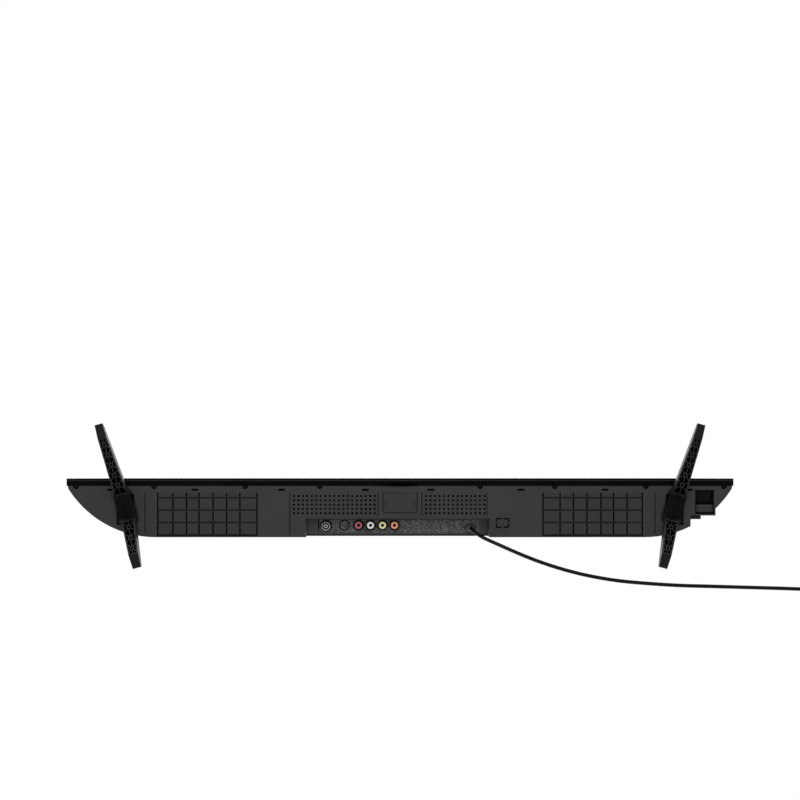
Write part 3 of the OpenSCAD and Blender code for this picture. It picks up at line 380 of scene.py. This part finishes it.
def cover_plastic():
    """Rear cover: dark grey HIPS, matt from spark erosion; darker on speaker fields, painted shade in the
    key's well.

    Painted shade darkens its lines and corners, less on the lines along the speaker fields than on the ones
    across. The ceiling of the connector recess is painted paler as light, with painted shade along its rear
    edge.
    """
    made, tree, shader, place = start("cover_hips")
    x, y, z = add(tree, "ShaderNodeSeparateXYZ", {"Vector": place}).outputs
    side = add(tree, "ShaderNodeMath", {0: x}, operation="ABSOLUTE").outputs["Value"]
    fields = within(tree, (side, y, z), FIELD_MIDDLE, FIELD_HALF, FIELD_SHADE)
    both = {0: fields, 6: mottled(tree, place, "#383839", "#3c3c3d"), 7: srgb("#000000")}
    without_crevice_shade = add(tree, "ShaderNodeMix", both, data_type="RGBA").outputs[2]
    # Painted shade in lines, slots and corners
    colour = crevice_shaded(tree, without_crevice_shade)
    # The lines along the fields get part of that painted shade taken back off
    for back in FIELD_LINES:
        middle = (FIELD_MIDDLE[0], BEZEL_FRONT + back, BOTTOM_EDGE)
        both = {0: within(tree, (side, y, z), middle, LINE_HALF, LINE_SHADE_LIFT), 6: colour, 7: without_crevice_shade}
        colour = add(tree, "ShaderNodeMix", both, data_type="RGBA").outputs[2]
    # Painted light on the recess ceiling, painted shade along its rear edge
    for middle, half, code in RECESS_LIGHT_AND_SHADE:
        both = {0: within(tree, (x, y, z), middle, half), 6: colour, 7: srgb(code)}
        colour = add(tree, "ShaderNodeMix", both, data_type="RGBA").outputs[2]
    # Painted shade in the finger well, full within most of its reach
    away = add(tree, "ShaderNodeVectorMath", {0: place, 1: WELL_SHADE_MIDDLE}, operation="DISTANCE")
    limits = {"Value": away.outputs["Value"], "From Min": 0.7 * WELL_SHADE_REACH, "From Max": WELL_SHADE_REACH}
    both = {0: add(tree, "ShaderNodeMapRange", limits).outputs["Result"], 6: srgb("#1a1a1b"), 7: colour}
    colour = add(tree, "ShaderNodeMix", both, data_type="RGBA").outputs[2]
    fill(tree, shader, {"Base Color": colour, "Specular IOR Level": 0.3})
    tooled(tree, shader, place, (0.55, 0.65), 0.7 * MM, 0.04 * MM, 0.8 * MM)
    return made


def leg_plastic():
    """Legs: black ABS with an even half gloss, the arms a little greyer; the block painted near black as
    shade.
    """
    made, tree, shader, place = start("leg_abs")
    height = add(tree, "ShaderNodeSeparateXYZ", {"Vector": place}).outputs["Z"]
    # Painted shade: near black on the block, up under the set
    limits = {"Value": height, "From Min": BLOCK_SHADE_START, "From Max": BLOCK_SHADE_FULL}
    share = add(tree, "ShaderNodeMapRange", limits).outputs["Result"]
    both = {0: share, 6: mottled(tree, place, "#262627", "#2c2c2d"), 7: srgb("#09090a")}
    # Painted shade in the cells and corners
    colour = crevice_shaded(tree, add(tree, "ShaderNodeMix", both, data_type="RGBA").outputs[2])
    fill(tree, shader, {"Base Color": colour, "Specular IOR Level": 0.5})
    tooled(tree, shader, place, (0.36, 0.42), 0.9 * MM, 0.01 * MM, 0.5 * MM)
    return made


def jack_plate_plastic():
    """Jack plate: coarse textured plastic, each of its cells with its own grey, with painted shade in its
    corners and black painted shade in its grooves.
    """
    made, tree, shader, place = start("speckled_plate")
    cells = add(tree, "ShaderNodeTexVoronoi", {"Vector": place, "Scale": 1 / SPECK}).outputs["Color"]
    chance = add(tree, "ShaderNodeSeparateColor", {"Color": cells}).outputs["Red"]
    share = add(tree, "ShaderNodeMapRange", {"Value": chance, "From Min": 0.1, "From Max": 0.9})
    both = {0: share.outputs["Result"], 6: srgb("#363638"), 7: srgb("#68686a")}
    # Painted shade in slots and corners
    colour = crevice_shaded(tree, add(tree, "ShaderNodeMix", both, data_type="RGBA").outputs[2])
    # Painted shade: black in the grooves, by how deep they cut
    height = add(tree, "ShaderNodeSeparateXYZ", {"Vector": place}).outputs["Z"]
    limits = {"Value": height, "From Min": GROOVE_SHADE_START, "From Max": GROOVE_SHADE_FULL}
    both = {0: add(tree, "ShaderNodeMapRange", limits).outputs["Result"], 6: colour, 7: srgb("#050505")}
    colour = add(tree, "ShaderNodeMix", both, data_type="RGBA").outputs[2]
    fill(tree, shader, {"Base Color": colour, "Specular IOR Level": 0.3})
    tooled(tree, shader, place, (0.5, 0.6), 0.6 * MM, 0.03 * MM)
    return made


def metal(name, dark, light, gloss, size, stretch=(1, 1, 1), depth=0.0, bare=1.0):
    """Metal: colour and gloss follow a noise drawn out along the grain; bare is the share of true metal."""
    made, tree, shader, place = start(name)
    drawn = add(tree, "ShaderNodeMapping", {"Vector": place, "Scale": stretch}).outputs["Vector"]
    texture = {"Vector": drawn, "Scale": 1 / size, "Detail": 4.0, "Roughness": 0.6}
    grain = add(tree, "ShaderNodeTexNoise", texture).outputs["Fac"]
    share = add(tree, "ShaderNodeMapRange", {"Value": grain, **NOISE_SPAN})
    both = {0: share.outputs["Result"], 6: srgb(dark), 7: srgb(light)}
    colour = add(tree, "ShaderNodeMix", both, data_type="RGBA").outputs[2]
    limits = {"Value": grain, **NOISE_SPAN, "To Min": gloss[0], "To Max": gloss[1]}
    rough = add(tree, "ShaderNodeMapRange", limits).outputs["Result"]
    fill(tree, shader, {"Base Color": colour, "Roughness": rough, "Metallic": bare})
    if depth:
        relief = add(tree, "ShaderNodeBump", {"Height": grain, "Distance": depth})
        fill(tree, shader, {"Normal": relief.outputs["Normal"]})
    return made


def screen_polariser():
    """Screen: near black polariser with a trace of blue and a haze-like anti-glare grain, drawn coarser."""
    made, tree, shader, place = start("anti_glare_panel")
    cloud = add(tree, "ShaderNodeTexNoise", {"Vector": place, "Scale": 1 / (90 * MM)}).outputs["Fac"]
    share = add(tree, "ShaderNodeMapRange", {"Value": cloud, **NOISE_SPAN})
    both = {0: share.outputs["Result"], 6: srgb("#08090b"), 7: srgb("#0b0c0f")}
    colour = add(tree, "ShaderNodeMix", both, data_type="RGBA").outputs[2]
    fill(tree, shader, {"Base Color": colour, "Specular IOR Level": 0.5})
    tooled(tree, shader, place, (0.05, 0.08), 0.35 * MM, 0.0)
    return made


def backlight_film():
    """Diffusing films and the reflector: white PET with a faint weave of micro prisms, drawn coarser."""
    made, tree, shader, place = start("diffusing_film")
    weave = {"Vector": place, "Scale": 1 / (1.6 * MM), "Distortion": 0.6, "Detail": 1.0}
    rows = add(tree, "ShaderNodeTexWave", weave, bands_direction="Z").outputs["Fac"]
    both = {0: rows, 6: srgb("#d9dbdd"), 7: srgb("#e6e7e8")}
    colour = add(tree, "ShaderNodeMix", both, data_type="RGBA").outputs[2]
    relief = add(tree, "ShaderNodeBump", {"Height": rows, "Distance": 0.01 * MM}).outputs["Normal"]
    fill(tree, shader, {"Base Color": colour, "Roughness": 0.5, "Normal": relief})
    return made


def circuit_board(name, mask, track, bare):
    """Circuit board: a brick pattern gives straight tracks under the mask, and cells the bare metal pads."""
    made, tree, shader, place = start(name)
    turned = add(tree, "ShaderNodeMapping", {"Vector": place, "Rotation": (math.pi / 2, 0, 0)})
    layout = {
        "Vector": turned.outputs["Vector"], "Color1": srgb(mask), "Color2": srgb(track),
        "Mortar": srgb(track), "Scale": 1.0, "Mortar Size": 0.35 * MM, "Brick Width": 9 * MM,
        "Row Height": 2.4 * MM,
    }
    tracks = add(tree, "ShaderNodeTexBrick", layout).outputs
    dots = add(tree, "ShaderNodeTexVoronoi", {"Vector": place, "Scale": 1 / (5 * MM)}).outputs["Distance"]
    limits = {"Value": dots, "From Min": 0.12, "From Max": 0.16, "To Min": 1.0, "To Max": 0.0}
    pads = add(tree, "ShaderNodeMapRange", limits).outputs["Result"]
    both = {0: pads, 6: tracks["Color"], 7: srgb(bare)}
    colour = add(tree, "ShaderNodeMix", both, data_type="RGBA").outputs[2]
    rough = add(tree, "ShaderNodeMapRange", {"Value": pads, "To Min": 0.4, "To Max": 0.28}).outputs["Result"]
    relief = add(tree, "ShaderNodeBump", {"Height": tracks["Fac"], "Distance": 0.03 * MM}).outputs["Normal"]
    fill(tree, shader, {"Base Color": colour, "Roughness": rough, "Normal": relief})
    return made


def cone_paper():
    """Speaker cone: pressed black paper, its fibres a rough noise."""
    made, tree, shader, place = start("cone_paper")
    pulp = {"Vector": place, "Scale": 1 / (1.4 * MM), "Detail": 5.0, "Roughness": 0.7}
    fibres = add(tree, "ShaderNodeTexNoise", pulp).outputs["Fac"]
    both = {0: fibres, 6: srgb("#131314"), 7: srgb("#29292a")}
    colour = add(tree, "ShaderNodeMix", both, data_type="RGBA").outputs[2]
    relief = add(tree, "ShaderNodeBump", {"Height": fibres, "Distance": 0.08 * MM}).outputs["Normal"]
    fill(tree, shader, {"Base Color": colour, "Normal": relief})
    fill(tree, shader, {"Roughness": 0.9, "Specular IOR Level": 0.15})
    return made


def cord_sheath():
    """Cord: extruded PVC; slow swells of the extrusion along U, and a fine dry surface."""
    made, tree, shader, place = start("cord_sheath")
    along = add(tree, "ShaderNodeUVMap", uv_map="along").outputs["UV"]
    reach = add(tree, "ShaderNodeSeparateXYZ", {"Vector": along}).outputs["X"]
    swells = {"W": reach, "Scale": 1 / (18 * MM)}
    swell = add(tree, "ShaderNodeTexNoise", swells, noise_dimensions="1D").outputs["Fac"]
    both = {0: swell, 6: srgb("#0f0f10"), 7: srgb("#18181a")}
    colour = add(tree, "ShaderNodeMix", both, data_type="RGBA").outputs[2]
    fill(tree, shader, {"Base Color": colour, "Specular IOR Level": 0.32})
    tooled(tree, shader, place, (0.42, 0.54), 0.5 * MM, 0.02 * MM)
    return made


bezel_abs = bezel_plastic()
cover_hips = cover_plastic()
leg_abs = leg_plastic()
speckled_plate = jack_plate_plastic()
# Snap-in covers: the rear cover's HIPS from a smoother tool
trim_hips = skin("trim_hips", "#363637", "#3a3a3b", (0.48, 0.56), 0.5 * MM, 0.02 * MM)
# Power key: a lighter grey than the well that it lies in
key_hips = skin("key_hips", "#434344", "#48484a", (0.42, 0.5), 0.5 * MM, 0.02 * MM)
# Pads and coil tie: thermoplastic rubber, dull and a little uneven
pad_rubber = skin("pad_rubber", "#1b1b1b", "#242424", (0.78, 0.9), 0.6 * MM, 0.04 * MM, specular=0.2)
# Jack bodies, frames and parts on boards: filled black plastic with a dry surface
filled_black = skin("filled_black", "#151516", "#1b1b1c", (0.55, 0.68), 0.4 * MM, 0.03 * MM, specular=0.28)
# Plug: moulded black PVC, softer in sheen than ABS
moulded_pvc = skin("moulded_pvc", "#121213", "#171718", (0.45, 0.55), 0.8 * MM, 0.03 * MM)
# Gland: the same PVC in grey
grey_pvc = skin("grey_pvc", "#6a6a6c", "#747476", (0.45, 0.55), 0.8 * MM, 0.03 * MM)
# Window over the remote receiver: smoked acrylic, polished
smoked_acrylic = skin("smoked_acrylic", "#010101", "#020202", (0.06, 0.1), 6 * MM, 0.0, specular=0.1)
# Cover screws: steel with a dull dark phosphate coat, fine crystals that hide the metal
phosphate = skin("phosphate", "#101012", "#18181a", (0.5, 0.7), 0.4 * MM, 0.02 * MM)
# Leg screws: steel with a black oxide coat, a little uneven from the bath
black_oxide = skin("black_oxide", "#0c0c0d", "#141416", (0.4, 0.55), 0.5 * MM, 0.01 * MM, specular=0.4)

# Jack inserts: dyed polypropylene, one dye each, with painted shade round the hole for the pin: a darker
# dye, then near black
INSERT_DYES = {
    "red": ("#b8646c", "#c47078", "#5e181f"), "white": ("#f2f2ee", "#f8f8f4", "#8c8c8a"),
    "yellow": ("#f0ecb2", "#f6f2be", "#8a8444"), "orange": ("#f0a87a", "#f6b288", "#84421e"),
}
inserts = {
    dye: skin(
        "insert_" + dye, dark, light, (0.35, 0.45), 0.7 * MM, 0.01 * MM, specular=0.4,
        # Painted shade round the pin's hole: a darker dye, then near black
        node="rca_insert_" + dye, bands=[(1.9 * MM, shaded_dye), (1.4 * MM, "#0a0909")],
    )
    for dye, (dark, light, shaded_dye) in INSERT_DYES.items()
}
# Aerial socket: flange painted black as shade, bright barrel, bore painted black as shade, pale insulator,
# and the contact's end painted black as its shaded hole
SOCKET_BANDS = [
    (4.7 * MM, "#a4a6a8"), (3.95 * MM, "#050505"), (2.6 * MM, "#c8c8c4"), (1.0 * MM, "#080808"),
]
aerial_socket = skin(
    "aerial_socket", "#0c0c0d", "#121213", (0.25, 0.4), 0.8 * MM, 0.0, specular=0.5, node="antenna_jack",
    bands=SOCKET_BANDS,
)

# Zinc plated sheet, with the cloudy flowers of the zinc bath
zinc_steel = metal("zinc_steel", "#8d9196", "#a9adb1", (0.34, 0.5), 9 * MM)
# Jack shells: bright nickel with fine marks of the press
nickel = metal("nickel", "#b9bbbd", "#cfd0d1", (0.2, 0.3), 0.8 * MM, stretch=(1, 1, 0.15), bare=0.6)
# Turned brass of pins and posts, marked round by the tool
brass = metal("brass", "#b08d45", "#c8a55a", (0.24, 0.34), 0.7 * MM, stretch=(1, 0.1, 1))
# Extruded aluminium with its lengthwise die lines
aluminium = metal(
    "aluminium", "#9fa3a7", "#b8bbbe", (0.35, 0.48), 0.6 * MM, stretch=(0.03, 1, 1), depth=0.01 * MM
)

anti_glare_panel = screen_polariser()
diffusing_film = backlight_film()
# Boards: glass epoxy under a green or black mask, and bare tan paper laminate for the power supply
board_green = circuit_board("board_green", "#12512f", "#1d6b41", "#b9b08a")
board_black = circuit_board("board_black", "#0b0c0c", "#111312", "#2c2c2a")
board_tan = circuit_board("board_tan", "#8a6a3a", "#9a7846", "#a9a9a4")
paper = cone_paper()
sheath = cord_sheath()

LOOKS = {
    bezel_abs: ["front_bezel"],
    cover_hips: ["rear_cover"],
    trim_hips: ["service_cover", "side_plate"],
    key_hips: ["power_paddle"],
    leg_abs: ["leg_left", "leg_right"],
    pad_rubber: ["leg_pads", "coil_tie"],
    filled_black: [
        "middle_frame", "rca_block", "headphone_jack", "key_switch", "main_board_parts", "power_board_parts",
        "rca_shells", "speaker_box_left", "speaker_box_right",
    ],
    moulded_pvc: ["plug_body"],
    grey_pvc: ["cord_gland"],
    smoked_acrylic: ["ir_window"],
    speckled_plate: ["jack_plate"],
    zinc_steel: [
        "backlight_pan", "tuner_can", "leg_brackets", "wall_mount_inserts", "speaker_magnet_left",
        "speaker_magnet_right",
    ],
    phosphate: ["cover_screws"],
    black_oxide: ["leg_screws"],
    aerial_socket: ["antenna_jack"],
    nickel: ["hdmi_ports", "usb_port"],
    brass: ["board_standoffs", "plug_pins"],
    aluminium: ["main_heatsink", "led_bars"],
    anti_glare_panel: ["lcd_panel"],
    diffusing_film: ["optical_sheets", "diffuser_plate", "reflector", "led_lenses", "signal_cable"],
    board_green: ["main_board", "tcon_board", "ir_board", "side_board"],
    board_black: ["key_board"],
    board_tan: ["power_board"],
    paper: ["speaker_cone_left", "speaker_cone_right"],
}
look_of = {name: look for look, names in LOOKS.items() for name in names}
look_of.update({"rca_insert_" + dye: look for dye, look in inserts.items()})


def paint(obj, look):
    """Makes a material the only one of an object."""
    obj.data.materials.clear()
    obj.data.materials.append(look)


for name, look in look_of.items():
    paint(nodes[name], look)
paint(mains_cord, sheath)


# Pieces with worked edges: merged copies of the construction nodes with a small round on each edge
WELD = 0.001 * MM
FLAT_TURN = 0.5
EDGE_TURN = 30
EDGE_STEPS = 2
SOFT_EDGES = {
    "front_bezel": 0.5 * MM, "leg_pads": 0.4 * MM, "service_cover": 0.1 * MM, "power_paddle": 0.25 * MM,
    "plug_body": 1.2 * MM, "cord_gland": 0.3 * MM, "coil_tie": 0.12 * MM, "antenna_jack": 0.15 * MM,
    "rca_shells": 0.15 * MM,
}


def softened(name, width):
    """A copy of a node with its edges rounded to the given width, which stands for the node."""
    mesh = nodes[name].data.copy()
    shape = bmesh.new()
    shape.from_mesh(mesh)
    bmesh.ops.remove_doubles(shape, verts=shape.verts, dist=WELD)
    flat = math.radians(FLAT_TURN)
    bmesh.ops.dissolve_limit(shape, angle_limit=flat, verts=shape.verts, edges=shape.edges)
    shape.to_mesh(mesh)
    shape.free()
    obj = new_object(name + "_soft", mesh)
    modifier = obj.modifiers.new("edges", "BEVEL")
    modifier.width = width
    modifier.segments = EDGE_STEPS
    modifier.limit_method = "ANGLE"
    modifier.angle_limit = math.radians(EDGE_TURN)
    settle(obj, EDGE_TURN)
    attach(obj, nodes[name]["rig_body"])
    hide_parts(name)
    return obj


soft = {name: softened(name, width) for name, width in SOFT_EDGES.items()}


# Ribs and threads that repeat, made by two node groups
RING_STEPS = 40
WIRE_STEPS = 10
RIB_TURN = 40


def group(name, inputs):
    """A geometry group with inputs of the named kinds and one geometry output."""
    made = bpy.data.node_groups.new(name, "GeometryNodeTree")
    for label, kind in inputs.items():
        made.interface.new_socket(label, in_out="INPUT", socket_type="NodeSocket" + kind)
    made.interface.new_socket("Geometry", in_out="OUTPUT", socket_type="NodeSocketGeometry")
    return made, add(made, "NodeGroupInput").outputs


def finish_group(made, instances, look):
    """Ends a group: its instances made real, and painted."""
    solid = add(made, "GeometryNodeRealizeInstances", {"Geometry": instances}).outputs["Geometry"]
    painted = add(made, "GeometryNodeSetMaterial", {"Geometry": solid, "Material": look})
    add(made, "NodeGroupOutput", {"Geometry": painted.outputs["Geometry"]})


def round_rib_group():
    """Rings in a row along Z, each a little wider than the one below it."""
    inputs = {
        "Count": "Int", "Pitch": "Float", "Radius": "Float", "Widening": "Float", "Wire": "Float",
        "Start": "Vector", "Material": "Material",
    }
    made, given = group("round_ribs", inputs)
    step = add(made, "ShaderNodeCombineXYZ", {"Z": given["Pitch"]}).outputs["Vector"]
    line = {"Count": given["Count"], "Start Location": given["Start"], "Offset": step}
    row = add(made, "GeometryNodeMeshLine", line).outputs["Mesh"]
    circle = "GeometryNodeCurvePrimitiveCircle"
    around = add(made, circle, {"Resolution": RING_STEPS, "Radius": given["Radius"]}).outputs["Curve"]
    section = add(made, circle, {"Resolution": WIRE_STEPS, "Radius": given["Wire"]}).outputs["Curve"]
    ring = add(made, "GeometryNodeCurveToMesh", {"Curve": around, "Profile Curve": section}).outputs["Mesh"]
    index = add(made, "GeometryNodeInputIndex").outputs["Index"]
    growth = {0: index, 1: given["Widening"], 2: 1.0}
    grown = add(made, "ShaderNodeMath", growth, operation="MULTIPLY_ADD").outputs["Value"]
    scale = add(made, "ShaderNodeCombineXYZ", {"X": grown, "Y": grown, "Z": 1.0}).outputs["Vector"]
    placed = add(made, "GeometryNodeInstanceOnPoints", {"Points": row, "Instance": ring, "Scale": scale})
    finish_group(made, placed.outputs["Instances"], given["Material"])
    return made


def finger_rib_group():
    """Blocks of one size in a row."""
    inputs = {
        "Count": "Int", "Step": "Vector", "Size": "Vector", "Start": "Vector", "Material": "Material",
    }
    made, given = group("finger_ribs", inputs)
    line = {"Count": given["Count"], "Start Location": given["Start"], "Offset": given["Step"]}
    row = add(made, "GeometryNodeMeshLine", line).outputs["Mesh"]
    block = add(made, "GeometryNodeMeshCube", {"Size": given["Size"]}).outputs["Mesh"]
    placed = add(made, "GeometryNodeInstanceOnPoints", {"Points": row, "Instance": block})
    finish_group(made, placed.outputs["Instances"], given["Material"])
    return made


def repeated(name, tree, body, slot, **given):
    """A piece made by a group with these inputs, kept as a plain mesh."""
    obj = new_object(name, bpy.data.meshes.new(name))
    modifier = obj.modifiers.new("repeat", "NODES")
    modifier.node_group = tree
    sockets = {item.name: item.identifier for item in tree.interface.items_tree if item.in_out == "INPUT"}
    for label, value in given.items():
        modifier[sockets[label]] = value
    settle(obj, RIB_TURN)
    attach(obj, body)


round_ribs = round_rib_group()
finger_ribs = finger_rib_group()

# Ribs of the gland's bending sleeve, wider towards the jack plate
sleeve_start = cord_exit + Vector((0, 0, 2.4 * MM))
repeated(
    "gland_ribs", round_ribs, "body", "cord_black", Count=7, Pitch=2.6 * MM, Radius=2.95 * MM,
    Widening=0.042, Wire=0.35 * MM, Start=sleeve_start, Material=grey_pvc,
)
# Thread of the aerial socket
socket_low, socket_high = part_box("antenna_jack")
socket_middle = (socket_low + socket_high) / 2
thread_start = Vector((socket_middle.x, socket_middle.y, socket_low.z + 0.9 * MM))
repeated(
    "antenna_thread", round_ribs, "body", "nickel", Count=9, Pitch=0.95 * MM, Radius=4.72 * MM,
    Widening=0.0, Wire=0.28 * MM, Start=thread_start, Material=nickel,
)
# Finger ribs on the two flats of the plug
plug_low, plug_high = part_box("plug_body")
plug_x = (plug_low.x + plug_high.x) / 2
first_rib = plug_low.y + 8 * MM
for side, height in (("under", plug_low.z), ("over", plug_high.z)):
    repeated(
        "plug_ribs_" + side, finger_ribs, "body", "cord_black", Count=6, Step=(0, 2.6 * MM, 0),
        Size=(20 * MM, 1.1 * MM, 0.7 * MM), Start=(plug_x, first_rib, height), Material=moulded_pvc,
    )


# Cord: stands for both construction nodes of the lead, with its tie and plug
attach(mains_cord, "body")
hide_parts("power_cord", "power_cord_coil")


# Stage: a pale floor that fades out round the set and shows from above only, so that the camera below it
# sees the set
FLOOR_HALF = 2.0
FLOOR_GAP = 0.2 * MM
FADE_START = 0.5
FADE_END = 1.5
LIGHT_AROUND = 0.4


def build_floor():
    """The floor: a matt sheet just under the pads, clear from below and further out."""
    shape = bmesh.new()
    bmesh.ops.create_grid(shape, x_segments=1, y_segments=1, size=FLOOR_HALF)
    mesh = bpy.data.meshes.new("floor")
    shape.to_mesh(mesh)
    shape.free()
    made = bpy.data.materials.new("floor")
    made.use_nodes = True
    tree = made.node_tree
    tree.nodes.clear()
    cloth = add(tree, "ShaderNodeBsdfDiffuse", {"Color": srgb("#f4f4f4")}).outputs["BSDF"]
    clear = add(tree, "ShaderNodeBsdfTransparent").outputs["BSDF"]
    below = add(tree, "ShaderNodeNewGeometry").outputs["Backfacing"]
    place = add(tree, "ShaderNodeTexCoord").outputs["Object"]
    away = add(tree, "ShaderNodeVectorMath", {0: place}, operation="LENGTH").outputs["Value"]
    limits = {"Value": away, "From Min": FADE_START, "From Max": FADE_END}
    far = add(tree, "ShaderNodeMapRange", limits, interpolation_type="SMOOTHSTEP").outputs["Result"]
    gone = add(tree, "ShaderNodeMath", {0: below, 1: far}, operation="MAXIMUM").outputs["Value"]
    both = add(tree, "ShaderNodeMixShader", {0: gone, 1: cloth, 2: clear}).outputs["Shader"]
    add(tree, "ShaderNodeOutputMaterial", {"Surface": both})
    obj = new_object("floor", mesh)
    obj.data.materials.append(made)
    obj.location.z = -FLOOR_GAP
    obj.visible_shadow = False
    obj.visible_diffuse = False
    obj.visible_glossy = False


def build_world():
    """White where the camera looks past the set, an even level as light, and dark below in reflections."""
    world = bpy.data.worlds.new("studio")
    world.use_nodes = True
    tree = world.node_tree
    tree.nodes.clear()
    ray = add(tree, "ShaderNodeLightPath").outputs
    way = add(tree, "ShaderNodeTexCoord").outputs["Generated"]
    height = add(tree, "ShaderNodeSeparateXYZ", {"Vector": way}).outputs["Z"]
    limits = {"Value": height, "From Min": -0.7, "From Max": 0.6, "To Min": 0.06, "To Max": 1.0}
    mirrored = add(tree, "ShaderNodeMapRange", limits).outputs["Result"]
    limits = {"Value": ray["Is Glossy Ray"], "To Min": LIGHT_AROUND, "To Max": mirrored}
    unseen = add(tree, "ShaderNodeMapRange", limits).outputs["Result"]
    limits = {"Value": ray["Is Camera Ray"], "To Min": unseen, "To Max": 1.0}
    level = add(tree, "ShaderNodeMapRange", limits).outputs["Result"]
    back = add(tree, "ShaderNodeBackground", {"Color": srgb("#ffffff"), "Strength": level})
    add(tree, "ShaderNodeOutputWorld", {"Surface": back.outputs["Background"]})
    scene.world = world


def lamp(name, place, aim, size, power):
    """A square soft lamp that neither the camera nor a reflection shows."""
    light = bpy.data.lights.new(name, "AREA")
    light.shape = "SQUARE"
    light.size = size
    light.energy = power
    obj = new_object(name, light)
    obj.location = place
    obj.rotation_euler = (Vector(aim) - Vector(place)).to_track_quat("-Z", "Y").to_euler()
    obj.visible_camera = False
    obj.visible_glossy = False


build_floor()
build_world()

# Lamps: one from below for the side that the camera sees, and three round the set
lamp("under", place=(0, 0.03, -2.4), aim=(0, 0.02, 0.05), size=1.0, power=35)
lamp("over", place=(0.2, 0.3, 2.4), aim=(0, 0, 0.3), size=2.2, power=34)
lamp("front", place=(-0.6, -2.4, 1.0), aim=(0, 0, 0.3), size=1.8, power=24)
lamp("rear", place=(0.6, 2.4, 1.0), aim=(0, 0, 0.3), size=1.8, power=24)
